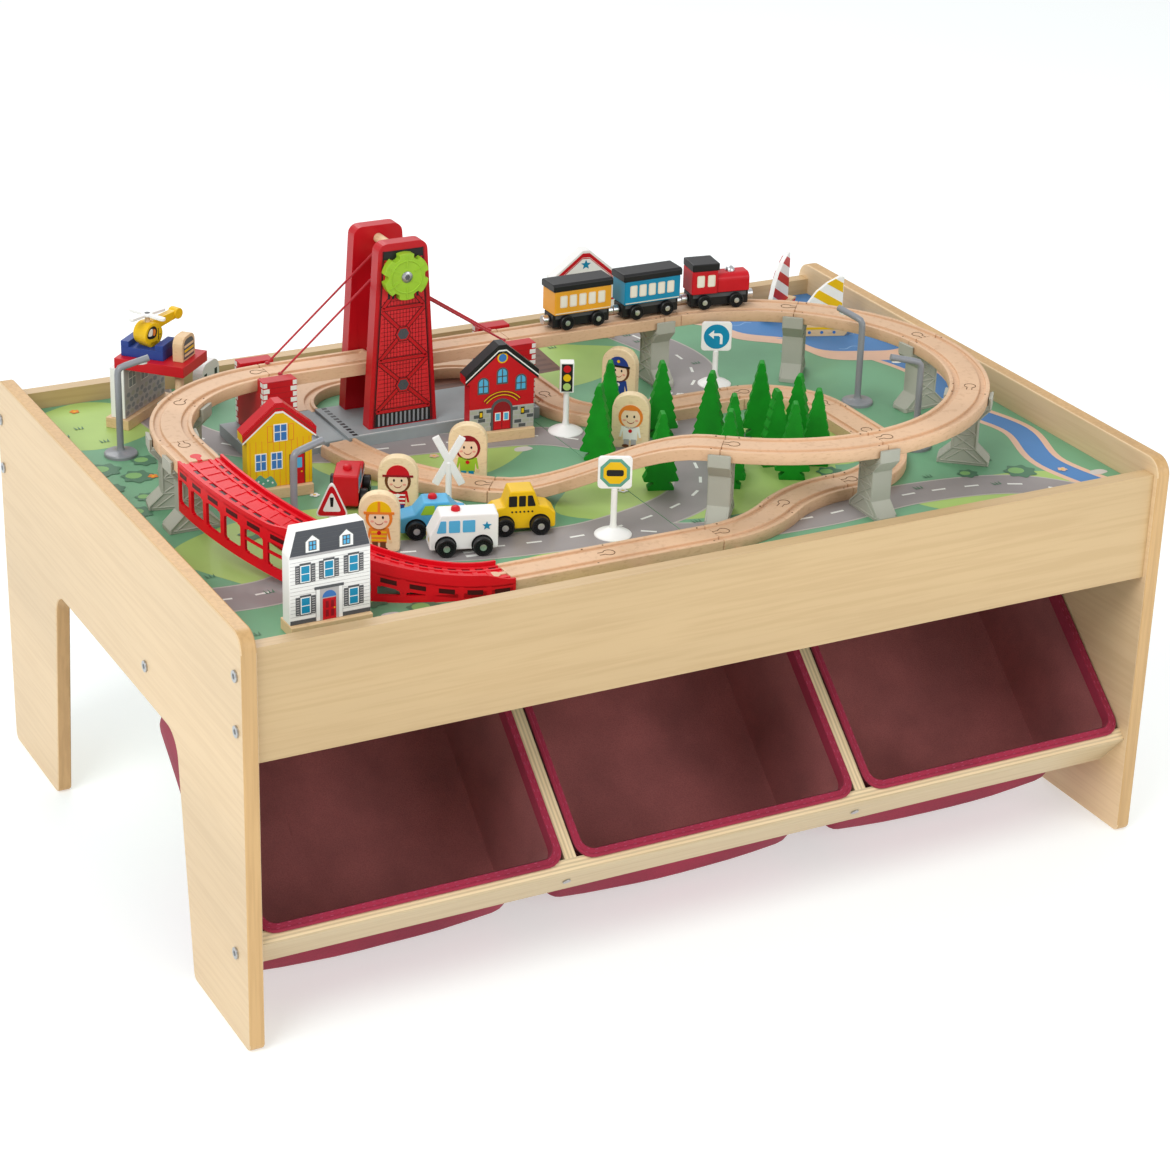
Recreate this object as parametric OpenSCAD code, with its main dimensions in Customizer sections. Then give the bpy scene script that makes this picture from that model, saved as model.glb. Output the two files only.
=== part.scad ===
// Train table: a low play table with tilted fabric bins, a play board and a wooden railway with its town.
// +Z is up, +X runs along the table, the front is at -Y, and the origin is on the floor under its middle.

/* [Table frame] */
// Length over the end panels
table_l = 975; // [900:5:1080]
// Depth over the end panels
table_d = 675; // [640:5:740]
// Height of the end panels
table_h = 414; // [400:2:450]
// Thickness of the end panels
panel_t = 15; // [12:0.5:20]
// Width of a leg at the floor
leg_foot_w = 140; // [110:5:165]
// Width of a leg at the top of the cutout
leg_top_w = 168; // [140:4:200]
// Height of the cutout between the legs
cutout_h = 242; // [200:2:262]
// Radius of the end panels' top corners
panel_top_r = 18; // [8:1:28]
// Radius in the corners of the cutout
cutout_r = 26; // [10:1:40]
// Radius at the feet
foot_r = 8; // [3:1:12]
// Thickness of the aprons
apron_t = 15; // [12:0.5:20]
// Height of the aprons
apron_h = 110; // [96:2:120]
// Set-back of the aprons from the panels' edges
apron_set = 6; // [3:0.5:12]
// Drop of the aprons below the panels' tops
apron_drop = 16; // [8:1:24]

/* [Play board] */
// Height of the aprons above the board
rim_h = 17.5; // [12:0.5:24]
// Thickness of the board
board_t = 9; // [6:0.5:12]
// Gap around the board and along its seam
board_gap = 0.5; // [0.3:0.1:0.8]
// Width and height of the cleats under the board
cleat_w = 18; // [14:1:22]
// Width of the beam under the seam
beam_w = 40; // [30:2:60]

/* [Bin rack] */
// Tilt of the rack, with its rear edge up
rack_tilt = 41; // [36:1:43]
// Height of the rack's front top corner
rack_h = 106; // [98:1:116]
// Set-back of the rack from the panels' front edges
rack_set = 5.5; // [4:0.5:12]
// Length of the rack over its rails
rack_span = 299; // [280:1:306]
// Thickness of the rails
rail_t = 13; // [11:0.5:16]
// Height of the rails
rail_h = 52; // [46:1:60]
// Thickness of the dividers
divider_t = 12; // [9:0.5:15]

/* [Fabric bins] */
// Depth of a bin below the rack
bin_depth = 130; // [110:1:132]
// Thickness of a bin's fabric walls
bin_wall = 3; // [2:0.5:5]
// Gap between a bin and the rack
bin_gap = 2; // [1.5:0.5:4]
// Radius of a bin's corners
bin_r = 16; // [8:1:24]
// Thickness of the stiff hem
hem_t = 3; // [2:0.5:5]
// Overlap of the hem on the rails
hem_lap = 4; // [3:0.5:6]

/* [Fasteners] */
// Diameter of the frame bolts
bolt_d = 6; // [5:0.5:7]
// Diameter of the bolts' heads
bolt_head_d = 11; // [9:0.5:14]
// Height of the bolts' heads
bolt_head_h = 2; // [1.5:0.1:3]
// Length of the bolts below the head
bolt_l = 50; // [40:1:60]
// Diameter of the rack screws
screw_d = 4; // [3:0.5:5]
// Diameter of the screws' heads
screw_head_d = 8; // [7:0.5:10]
// Height of the screws' heads
screw_head_h = 1.5; // [1:0.1:2]
// Length of the screws below the head
screw_l = 40; // [30:1:50]

/* [Track] */
// Width of the wooden track
track_w = 40; // [36:0.5:42]
// Thickness of the wooden track
track_t = 12; // [10:0.5:13]
// Width of the wheel grooves
groove_w = 6; // [4:0.5:7]
// Depth of the wheel grooves
groove_deep = 3; // [2:0.25:4]
// Distance between the middles of the two grooves
gauge = 26; // [24:0.5:28]
// Gap where two pieces of track meet
joint_gap = 0.4; // [0.3:0.1:0.8]
// Height of the upper track's underside above the board
deck_rise = 64.5; // [60:0.5:70]

/* [Piers] */
// Width of a pier's foot, across the track
pier_foot_w = 52; // [48:1:53]
// Width of a pier's column
pier_column_w = 26; // [22:1:32]
// Thickness of a pier, along the track
pier_t = 20; // [16:1:21]
// Thickness of the clip's cheeks
clip_t = 3.5; // [3:0.5:5]
// Height of the clip's cheeks beside the track
clip_h = 8; // [6:0.5:10]
// Thickness of a pier's foot
pier_foot_t = 4; // [3:0.5:6]
// Height of the flares at the foot and under the clip
pier_flare_h = 17; // [14:1:19]

/* [Plastic ramp] */
// Width of the plastic ramp
ramp_w = 44; // [42:0.5:46]
// Height of its side skirts
skirt_h = 46; // [40:1:50]
// Thickness of its walls
ramp_wall = 3; // [2.5:0.5:4]
// Height of its rails above its deck
ramp_rail_h = 3; // [2:0.5:4]

/* [Lifting bridge] */
// Width of a tower at its foot
tower_foot_w = 75; // [70:1:80]
// Width of a tower at its top
tower_top_w = 52; // [48:1:60]
// Height of the towers above the base
tower_h = 192; // [186:1:200]
// Thickness of a tower
tower_t = 15; // [12:0.5:18]
// Gap between a tower and a leaf
leaf_gap = 2.5; // [2:0.25:3]
// Distance between the two leaf hinges
hinge_span = 40; // [36:1:44]
// Diameter of the hinge pins
pin_d = 5; // [4:0.5:6]
// Height of the winch above the base
winch_h = 159; // [152:1:162]
// Diameter of the winch's axle
axle_d = 10; // [8:0.5:11]
// Diameter of the winch's spool
spool_d = 16; // [14:0.5:18]
// Diameter of the knob
knob_d = 48; // [42:1:52]
// Thickness of the knob
knob_t = 9; // [7:0.5:12]
// Diameter of the cords
cord_d = 2.2; // [1.6:0.2:2.6]
// Radial clearance of turning pins and axles
fit_gap = 0.08; // [0.06:0.01:0.1]
// Thickness of the bridge's base
base_t = 12; // [10:0.5:13]
// Height of the end pillars above the deck
pillar_rise = 2; // [1.5:0.5:6]

/* [Road vehicles] */
// Width of a vehicle's body
car_w = 24; // [22:0.5:26]
// Length of a vehicle
car_l = 64; // [60:1:66]
// Distance between a vehicle's axles
car_wheelbase = 34; // [32:0.5:36]
// Diameter of a vehicle's wheels
car_wheel_d = 18; // [16:0.5:19]
// Width of a vehicle's wheels
car_wheel_w = 7; // [6:0.5:8]
// Diameter of a vehicle's axles
car_axle_d = 4; // [3:0.25:4.5]
// Height of a vehicle's floor above the board
car_floor = 5; // [4:0.5:6]

/* [Train] */
// Length of a coach's body
coach_l = 66; // [62:1:68]
// Width of the train's bodies
train_w = 28; // [26:0.5:29]
// Distance between the middles of two coupled cars
coach_pitch = 82; // [80:0.5:84]
// Distance between a car's axles
train_wheelbase = 36; // [34:0.5:38]
// Diameter of the train's wheels
train_wheel_d = 16; // [15:0.5:17]
// Width of the train's wheels
train_wheel_w = 5; // [4:0.25:5.5]
// Diameter of the train's axles
train_axle_d = 4; // [3:0.25:4.5]
// Thickness of the train's chassis
chassis_t = 14.5; // [14:0.5:16]
// Height of the train's floor above the track
train_floor = 3; // [2:0.25:3.5]
// Height of a coach's walls
coach_wall_h = 25.5; // [24:0.5:28]
// Thickness of the roofs
roof_t = 8; // [6:0.5:9]

/* [Town] */
// Thickness of the flat wooden buildings
house_t = 16; // [13:0.5:18]
// Height of the blocks that the buildings stand on
house_block_h = 11; // [9:0.5:13]
// Depth of those blocks
house_block_d = 26; // [24:0.5:28]
// Width of a building
house_w = 69; // [64:1:72]
// Height of a building's walls
house_wall_h = 60; // [56:1:64]
// Height of a building's gable
house_gable_h = 30; // [27:1:33]
// Width of the white house
white_house_w = 76; // [72:1:78]
// Height of the white house's walls
white_house_wall_h = 64; // [60:1:68]
// Height of the white house's roof
white_house_roof_h = 24; // [20:1:27]
// Height of a tree
tree_h = 80; // [72:1:84]
// Width of a tree
tree_w = 35; // [31:0.5:36]
// Thickness of the trees and the figures
flat_t = 11; // [9:0.5:12]
// Height of a figure
figure_h = 58; // [52:1:62]
// Width of a figure
figure_w = 38; // [34:0.5:40]
// Height of a street lamp's post
lamp_h = 90; // [84:1:94]
// Diameter of a street lamp's post
lamp_d = 7; // [6:0.5:8]
// Reach of a street lamp's arm
lamp_reach = 32; // [26:1:36]
// Diameter of a street lamp's foot
lamp_foot_d = 33; // [30:1:36]
// Diameter of a sign's foot
sign_foot_d = 36; // [30:1:36]
// Diameter of the signs' posts
sign_post_d = 6; // [5:0.5:7]
// Size of a sign's plate
sign_plate = 32; // [28:1:34]
// Thickness of a sign's plate
sign_plate_t = 4; // [3:0.5:5]
// Length of a boat
boat_l = 72; // [66:1:76]
// Height of a boat with its sail
boat_h = 68; // [62:1:74]

/* [Helicopter pad] */
// Length of the deck
pad_l = 76; // [72:1:80]
// Depth of the deck
pad_w = 56; // [54:1:60]
// Thickness of the deck
pad_t = 11; // [9:0.5:13]
// Height of the deck's underside above the board
pad_rise = 64.5; // [60:0.5:70]
// Diameter of the helicopter's cabin
cabin_d = 24.5; // [22:0.5:25]
// Length of a rotor blade
blade_l = 24; // [20:0.5:26]

/* [Hidden] */
// Points on each rounded corner, and sides of true circles
corner_steps = 6;
$fn = 48;
// Small overrun of a cut past the face that it opens
cut = 1;

// The table's derived places
half_l = table_l / 2;
half_d = table_d / 2;
inner_half_l = half_l - panel_t;
inner_half_d = half_d - apron_set - apron_t;
apron_top = table_h - apron_drop;
apron_z = apron_top - apron_h;
board_z = apron_top - rim_h;
board_under = board_z - board_t;

// The layout is as large as the board lets it be, and its places are shares of that half length
plan_aspect_share = 1.5;
plan = min(inner_half_l, inner_half_d * plan_aspect_share);

// The rack in its own tilted frame, from the front rail's front top corner
rack_y = -half_d + rack_set;
bay_w = (2 * inner_half_l - 2 * divider_t) / 3;
bay_pitch = bay_w + divider_t;
rail_mid_y = rail_t / 2;
rear_rail_y = rack_span - rail_t;
bin_front = rail_t + bin_gap;
bin_rear = rear_rail_y - bin_gap;

// Levels of the railway
low_top = board_z + track_t;
deck_z = board_z + deck_rise;
deck_top = deck_z + track_t;

// Bolts in an end panel, as height shares of the apron
apron_bolt_shares = [0.28, 0.76];
bolt_y = half_d - apron_set - apron_t / 2;

// Plan of the upper loop
rear_y_share = 0.290;
left_r_share = 0.3026;
left_x_share = -0.5757;
big_r_share = 0.4233;
big_x_share = 0.402;
big_joints = [-90, -39, 6, 51, 90];
left_pier_turn = 168;
rear_joint_share = 0.360;
ess_r_share = 0.487;
ess_turn = 38;
descent_share = 0.470;
rear_y = rear_y_share * plan;
left_r = left_r_share * plan;
left_centre = [left_x_share * plan, rear_y - left_r];
big_r = big_r_share * plan;
big_centre = [big_x_share * plan, rear_y - big_r];
rear_joint_x = rear_joint_share * plan;
ess_r = ess_r_share * plan;
ess_centre = [big_centre.x, big_centre.y - big_r + ess_r];
ess_end = ess_centre + ess_r * [-sin(ess_turn), -cos(ess_turn)];
descent_l = descent_share * plan;
descent_way = [-cos(ess_turn), sin(ess_turn)];
descent_end = ess_end + descent_l * descent_way;

// Plan of the plastic ramp
ramp_r_share = 0.4444;
front_y_share = -0.565;
front_y = front_y_share * plan;
ramp_r = ramp_r_share * plan;
ramp_centre = [left_centre.x - left_r + ramp_r, front_y + ramp_r];
ramp_pieces = 2;
ramp_steps = 9;

// The bridge stands round the rear straight
bridge_x_share = -0.296;
bridge_x = bridge_x_share * plan;
tower_inner = track_w / 2 + leaf_gap;
base_top = board_z + base_t;
tower_y = tower_inner + tower_t / 2;
base_reach_share = 0.105;
base_front = rear_y - base_reach_share * plan;
base_rear = rear_y + tower_inner + tower_t;
hinge_z = deck_z + track_t / 2;
winch_z = base_top + winch_h;
crossbar_z_share = 0.93;
crossbar_z = base_top + tower_h * crossbar_z_share;
knuckle_gap = 0.5;
left_hinge_x = bridge_x - hinge_span / 2;
right_hinge_x = bridge_x + hinge_span / 2;
left_end_x = left_centre.x;
leaf_share = 0.235;
right_end_x = right_hinge_x + leaf_share * plan;
pillar_l_share = 0.076;
pillar_l = pillar_l_share * plan;
pillar_t = tower_t;
pillar_left = left_end_x - pillar_l / 2;
pillar_right = right_end_x + pillar_l / 2;
base_end = pillar_l / 2;
cord_edge_share = 1.5;
cord_end_share = 4;
cord_anchor = track_w / 2 - cord_d * cord_edge_share;
cord_inset = cord_d * cord_end_share;

// Plan of the lower track
merge_r_share = 0.512;
merge_turn = 45;
merge_r = merge_r_share * plan;
merge_centre = descent_end + merge_r * [sin(ess_turn), cos(ess_turn)];
rear_loop_r_share = 0.159;
rear_loop_r = rear_loop_r_share * plan;
cross_x_share = -0.466;
cross_x = cross_x_share * plan;
dip_y_share = 0.233;
dip_r_share = 0.144;
dip_r = dip_r_share * plan;
loop_gap = 2;
loop_right_x = pillar_right + track_w / 2 + loop_gap;
dip_centre = [loop_right_x + dip_r, dip_y_share * plan];
mid_y = dip_centre.y - dip_r;
bend_x_share = 0.455;
bend_r_share = 0.148;
bend_r = bend_r_share * plan;
bend_centre = [bend_x_share * plan, mid_y - bend_r];
side_x = bend_centre.x + bend_r;
turn_r_share = 0.201;
turn_r = turn_r_share * plan;
turn_y_share = -0.239;
turn_centre = [side_x - turn_r, turn_y_share * plan];
wave_start = [turn_centre.x, turn_centre.y - turn_r];
wave_l_share = 0.378;
wave_end = [wave_start.x - wave_l_share * plan, front_y];
wave_drop = wave_start.y - wave_end.y;
wave_run = wave_start.x - wave_end.x;
wave_turn = 2 * atan(wave_drop / wave_run);
wave_r = wave_run / 2 / sin(wave_turn);

// Clearances that several pieces share
rest_gap = 0.3;
clip_gap = 0.6;
side_gap = 0.5;

// Places on the board, as shares of the plan, each with its turn in degrees
yellow_house_shares = [-0.660, 0.022];
yellow_house_yaw = -5;
fire_station_shares = [-0.112, 0.1206];
fire_station_yaw = -6;
white_house_shares = [-0.817, -0.599];
hospital_shares = [0.3459, 0.6132];
hospital_yaw = -9;
pad_shares = [-0.7394, 0.4758];
pad_yaw = 44;
pad_wall_shares = [-0.7672, 0.5492];
pad_wall_yaw = 41;
heli_shares = [-0.7621, 0.4874];
heli_yaw = 25;
boat_shares = [[0.852, 0.567], [0.8724, 0.4039]];
boat_yaws = [35, -20];
tree_shares = [[0.108, 0.034], [0.210, -0.012], [0.276, -0.107], [0.252, -0.244], [0.405, -0.097],
    [0.349, -0.255], [0.438, -0.197], [0.430, -0.289], [0.066, -0.272], [0.200, -0.318], [0.345, -0.334],
    [0.021, -0.081]];
tree_yaws = [-28, -20, -40, -25, -30, -10, -45, -30, -20, -35, -28, -40];
figure_shares = [[-0.476, -0.163], [-0.586, -0.318], [-0.272, -0.060], [0.2315, 0.2127], [0.1205, -0.0423]];
figure_yaws = [-28, -28, -28, -50, -35];
lamp_shares = [[-0.880, 0.347], [-0.7286, -0.2314], [0.708, -0.017], [0.681, -0.290]];
lamp_yaws = [0, 10, 110, 161];
warning_shares = [-0.637, -0.203];
cross_shares = [-0.377, -0.1895];
octagon_shares = [-0.135, -0.442];
arrow_shares = [0.474, 0.213];
signal_shares = [0.034, 0.091];
sign_yaw = -25;
ambulance_shares = [-0.4394, -0.3845];
police_shares = [-0.457, -0.284];
taxi_shares = [-0.291, -0.339];
truck_shares = [-0.5394, -0.0617];
car_yaw = 163;
taxi_yaw = -16;
truck_yaw = 241;
blue_coach_x_share = 0.333;
loco_yaw = -8.6;
loco_y_share = 0.2825;

// The train's places on the rear straight
blue_x = blue_coach_x_share * plan;
yellow_x = blue_x - coach_pitch;
loco_slack = 1;
loco_x = blue_x + coach_pitch + loco_slack;
loco_y = loco_y_share * plan;
coupler_l = (coach_pitch - coach_l) / 2 - rest_gap / 2;

function unit(v) = v / norm(v);
function ease(t) = t * t * (3 - 2 * t);
function rack_point(y, z) = [rack_y + y * cos(rack_tilt) - z * sin(rack_tilt),
    rack_h + y * sin(rack_tilt) + z * cos(rack_tilt)];

// The arc that rounds corner p between its neighbours a and b
function corner(a, p, b, r) =
    let (u = unit(a - p), v = unit(b - p), half = acos(u * v) / 2,
        c = p + unit(u + v) * r / sin(half),
        s = p + u * r / tan(half) - c, e = p + v * r / tan(half) - c,
        start = atan2(s.y, s.x), turn = atan2(s.x * e.y - s.y * e.x, s * e))
    [for (k = [0:corner_steps]) let (angle = start + turn * k / corner_steps)
        c + r * [cos(angle), sin(angle)]];

// A closed outline with a radius at each of its corners
function rounded(points, radii) =
    let (n = len(points))
    [for (i = [0:n - 1])
        each radii[i] > 0 ? corner(points[(i + n - 1) % n], points[i], points[(i + 1) % n], radii[i])
            : [points[i]]];

// The four corners of a rectangle that is centred across and starts at a height
function box_points(w, low, high) = [[-w / 2, low], [w / 2, low], [w / 2, high], [-w / 2, high]];

// An outline given as shares of a width and a height
function scaled(shares, w, h) = [for (p = shares) [p.x * w, p.y * h]];

// Stands an outline up, facing the front, centred on its thickness
module upright(t) rotate([90, 0, 0]) linear_extrude(t, center = true) children();

// Puts a piece on the board at a place given in shares of the plan
module on_board(shares, yaw = 0)
    translate([shares.x * plan, shares.y * plan, board_z]) rotate([0, 0, yaw]) children();

// A cylinder that runs along Y, centred
module cross_rod(d, l) rotate([90, 0, 0]) cylinder(d = d, h = l, center = true);

// A straight rod from one point to another
module rod_between(a, b, d) {
    way = b - a;
    translate(a) rotate([0, acos(way.z / norm(way)), atan2(way.y, way.x)]) cylinder(d = d, h = norm(way));
}

// Bolt places on an end panel, as Y and Z
bolt_spots = concat(
    [for (side = [-1, 1], share = apron_bolt_shares) [side * bolt_y, apron_z + apron_h * share]],
    [rack_point(rail_mid_y, -rail_h / 2), rack_point(rear_rail_y + rail_mid_y, -rail_h / 2)]);

// The holes that the bolts run in, from both ends of the table
module bolt_holes()
    for (end = [-1, 1], spot = bolt_spots)
        translate([end * (half_l + cut), spot.x, spot.y]) rotate([0, -end * 90, 0])
            cylinder(d = bolt_d + 2 * fit_gap, h = bolt_l + 2 * cut);

module end_panel(x) {
    outline = [[-half_d, 0], [-half_d + leg_foot_w, 0], [-half_d + leg_top_w, cutout_h],
        [half_d - leg_top_w, cutout_h], [half_d - leg_foot_w, 0], [half_d, 0], [half_d, table_h],
        [-half_d, table_h]];
    radii = [foot_r, foot_r, cutout_r, cutout_r, foot_r, foot_r, panel_top_r, panel_top_r];
    color("#F3D9AF") difference() {
        translate([x, 0, 0]) rotate([90, 0, 90]) linear_extrude(panel_t) polygon(rounded(outline, radii));
        bolt_holes();
    }
}

module left_end_panel() end_panel(-half_l);
module right_end_panel() end_panel(inner_half_l);

module apron(side)
    color("#E6CC9C") difference() {
        translate([-inner_half_l, side * bolt_y - apron_t / 2, apron_z])
            cube([2 * inner_half_l, apron_t, apron_h]);
        bolt_holes();
    }

module front_apron() apron(-1);
module rear_apron() apron(1);

// Two cleats along the aprons, and a beam under the board's seam
module board_cleats() color("#D9BC8A") {
    for (side = [-1, 1])
        translate([-inner_half_l, side * (inner_half_d - cleat_w / 2) - cleat_w / 2, board_under - cleat_w])
            cube([2 * inner_half_l, cleat_w, cleat_w]);
    translate([-beam_w / 2, -inner_half_d + cleat_w, board_under - cleat_w])
        cube([beam_w, 2 * (inner_half_d - cleat_w), cleat_w]);
}

module playboard() color("#7FAE7C") {
    leaf_l = inner_half_l - board_gap * 3 / 2;
    for (side = [-1, 1])
        translate([side * (leaf_l / 2 + board_gap / 2) - leaf_l / 2, -inner_half_d + board_gap, board_under])
            cube([leaf_l, 2 * (inner_half_d - board_gap), board_t]);
}

module rack_frame() translate([0, rack_y, rack_h]) rotate([rack_tilt, 0, 0]) children();

// Places the children at each rack screw, pointing into the divider behind the rail
module at_rack_screws()
    for (side = [-1, 1]) {
        translate([side * bay_pitch / 2, 0, -rail_h / 2]) rotate([-90, 0, 0]) children();
        translate([side * bay_pitch / 2, rack_span, -rail_h / 2]) rotate([90, 0, 0]) children();
    }

module screw_holes()
    rack_frame() at_rack_screws()
        translate([0, 0, -cut]) cylinder(d = screw_d + 2 * fit_gap, h = screw_l + 2 * cut);

module rack_rail(y)
    color("#E3C89A") difference() {
        rack_frame() translate([-inner_half_l, y, -rail_h]) cube([2 * inner_half_l, rail_t, rail_h]);
        bolt_holes();
        screw_holes();
    }

module rack_front_rail() rack_rail(0);
module rack_rear_rail() rack_rail(rear_rail_y);

module rack_dividers()
    color("#E3C89A") difference() {
        rack_frame() for (side = [-1, 1])
            translate([side * bay_pitch / 2 - divider_t / 2, rail_t, -rail_h])
                cube([divider_t, rear_rail_y - rail_t, rail_h]);
        screw_holes();
    }

module headed(d, l, head_d, head_h) {
    cylinder(d = d, h = l);
    translate([0, 0, -head_h]) cylinder(d = head_d, h = head_h);
}

module frame_fasteners() color("#B9BBBE") {
    for (end = [-1, 1], spot = bolt_spots)
        translate([end * half_l, spot.x, spot.y]) rotate([0, -end * 90, 0])
            headed(bolt_d, bolt_l, bolt_head_d, bolt_head_h);
    rack_frame() at_rack_screws() headed(screw_d, screw_l, screw_head_d, screw_head_h);
}

// A fabric bin that hangs in its bay by a stiff hem on the two rails
module fabric_bin(bay) {
    w = bay_w - 2 * bin_gap;
    inner_w = w - 2 * bin_wall;
    inner_r = bin_r - bin_wall;
    hem_front = rail_t - hem_lap;
    hem_rear = rear_rail_y + hem_lap;
    corners = [bin_r, bin_r, bin_r, bin_r];
    inner_corners = [inner_r, inner_r, inner_r, inner_r];
    color("#A8324F") rack_frame() translate([bay * bay_pitch, 0, 0]) difference() {
        union() {
            translate([0, 0, -bin_depth]) linear_extrude(bin_depth)
                polygon(rounded(box_points(w, bin_front, bin_rear), corners));
            linear_extrude(hem_t) polygon(rounded(box_points(w, hem_front, hem_rear), corners));
        }
        translate([0, 0, -bin_depth + bin_wall]) linear_extrude(bin_depth + hem_t)
            polygon(rounded(box_points(inner_w, bin_front + bin_wall, bin_rear - bin_wall), inner_corners));
    }
}

module bin_left() fabric_bin(-1);
module bin_middle() fabric_bin(0);
module bin_right() fabric_bin(1);

// The cross-section of the wooden track
module track_section() difference() {
    translate([-track_w / 2, 0]) square([track_w, track_t]);
    for (side = [-1, 1])
        translate([side * gauge / 2 - groove_w / 2, track_t - groove_deep])
            square([groove_w, groove_deep + cut]);
}

// A straight piece from one point of the plan to another, short of both by half a joint
module straight_track(a, b, z) {
    way = b - a;
    translate([a.x, a.y, z]) rotate([0, 0, atan2(way.y, way.x)]) translate([joint_gap / 2, 0, 0])
        rotate([90, 0, 90]) linear_extrude(norm(way) - joint_gap) track_section();
}

// A curved piece about a centre, short of both ends by half a joint
module arc_track(centre, r, from, to, z) {
    gap = joint_gap / 2 / r * 180 / PI;
    translate([centre.x, centre.y, z]) rotate([0, 0, from + gap])
        rotate_extrude(angle = to - from - 2 * gap) translate([r, 0]) track_section();
}

module upper_track() color("#D9B08C") {
    left_x = left_centre.x - left_r;
    knuckle = track_t / 2 + knuckle_gap;
    straight_track([left_x, ramp_centre.y], [left_x, left_centre.y], deck_z);
    for (turn = [90, 135]) arc_track(left_centre, left_r, turn, turn + 45, deck_z);
    translate([left_hinge_x + knuckle, rear_y - tower_inner, deck_z])
        cube([hinge_span - 2 * knuckle, 2 * tower_inner, track_t]);
    straight_track([right_end_x + joint_gap, rear_y], [rear_joint_x, rear_y], deck_z);
    straight_track([rear_joint_x, rear_y], [big_centre.x, rear_y], deck_z);
    for (k = [0:len(big_joints) - 2]) arc_track(big_centre, big_r, big_joints[k], big_joints[k + 1], deck_z);
    arc_track(ess_centre, ess_r, -90 - ess_turn, -90, deck_z);
}

// A slice along the descending track, between two depths below its running surface
module descent_slice(top, under, w) {
    steps = 16;
    level_share = 1 / steps;
    run = [for (k = [0:steps]) k / steps];
    function height_at(t) =
        deck_top + (low_top - deck_top) * ease(max(0, t - level_share) / (1 - level_share));
    function along(t) = joint_gap / 2 + t * (descent_l - joint_gap);
    upright(w) polygon(concat([for (t = run) [along(t), height_at(t) - top]],
        [for (k = [steps:-1:0]) [along(run[k]), height_at(run[k]) - under]]));
}

module descending_track()
    color("#D9B08C") translate([ess_end.x, ess_end.y, 0]) rotate([0, 0, 180 - ess_turn]) difference() {
        descent_slice(0, track_t, track_w);
        for (side = [-1, 1]) translate([0, side * gauge / 2, 0]) descent_slice(-cut, groove_deep, groove_w);
    }

module lower_track() color("#D9B08C") {
    loop_y = base_rear + joint_gap;
    loop_left = [cross_x + rear_loop_r, loop_y];
    loop_right = [loop_right_x - rear_loop_r, loop_y];
    arc_track(merge_centre, merge_r, 270 - ess_turn - merge_turn, 270 - ess_turn, board_z);
    arc_track(loop_left, rear_loop_r, 90, 180, board_z);
    straight_track([loop_left.x, loop_y + rear_loop_r], [loop_right.x, loop_y + rear_loop_r], board_z);
    arc_track(loop_right, rear_loop_r, 0, 90, board_z);
    straight_track([loop_right_x, loop_y], [loop_right_x, dip_centre.y], board_z);
    arc_track(dip_centre, dip_r, 180, 270, board_z);
    straight_track([dip_centre.x, mid_y], [bend_centre.x, mid_y], board_z);
    arc_track(bend_centre, bend_r, 0, 90, board_z);
    straight_track([side_x, bend_centre.y], [side_x, turn_centre.y], board_z);
    arc_track(turn_centre, turn_r, -90, 0, board_z);
    arc_track([wave_start.x, wave_start.y - wave_r], wave_r, 90, 90 + wave_turn, board_z);
    arc_track([wave_end.x, wave_end.y + wave_r], wave_r, 270, 270 + wave_turn, board_z);
    straight_track(wave_end, [ramp_centre.x, front_y], board_z);
}

// One piece of the plastic ramp: an upturned channel with two rails, swept up along its curve
module ramp_piece(piece) {
    gap = joint_gap / ramp_r * 180 / PI;
    span = 90 / ramp_pieces;
    function turn(k) = 270 - piece * span - gap / 2 - (span - gap) * k / ramp_steps;
    function rise(k) = low_top + (deck_top - low_top) * ease((270 - turn(k)) / 90);
    function section(top) =
        let (foot = max(board_z, top - skirt_h), half = ramp_w / 2, under = top - ramp_wall,
            inner = half - ramp_wall, rail = top + ramp_rail_h)
        [[half, foot], [half, rail], [inner, rail], [inner, top], [-inner, top], [-inner, rail],
            [-half, rail], [-half, foot], [-inner, foot], [-inner, under], [inner, under], [inner, foot]];
    sides = len(section(low_top));
    points = [for (k = [0:ramp_steps], p = section(rise(k)))
        [(ramp_r + p.x) * cos(turn(k)), (ramp_r + p.x) * sin(turn(k)), p.y]];
    walls = [for (k = [0:ramp_steps - 1], j = [0:sides - 1])
        let (a = k * sides + j, b = k * sides + (j + 1) % sides)
            each [[a, a + sides, b + sides], [a, b + sides, b]]];
    first = [[0, 1, 2], [0, 2, 3], [0, 3, 10], [0, 10, 11], [3, 4, 9], [3, 9, 10], [7, 8, 9], [7, 9, 4],
        [7, 4, 5], [7, 5, 6]];
    last = [for (face = first) [for (j = [len(face) - 1:-1:0]) ramp_steps * sides + face[j]]];
    translate([ramp_centre.x, ramp_centre.y, 0]) polyhedron(points, concat(walls, first, last));
}

module plastic_ramp() color("#D22027") for (piece = [0:ramp_pieces - 1]) ramp_piece(piece);

// One pier under a joint of the upper track, across a track that runs along X
module pier() {
    clip_in = track_w / 2 + clip_gap;
    clip_out = clip_in + clip_t;
    half = [[pier_foot_w / 2, 0], [pier_foot_w / 2, pier_foot_t], [pier_column_w / 2, pier_flare_h],
        [pier_column_w / 2, deck_rise - pier_flare_h], [clip_out, deck_rise - pier_foot_t],
        [clip_out, deck_rise + clip_h], [clip_in, deck_rise + clip_h], [clip_in, deck_rise]];
    other = [for (k = [len(half) - 1:-1:0]) [-half[k].x, half[k].y]];
    rotate([0, 0, 90]) upright(pier_t) polygon(concat(half, other));
}

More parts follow.
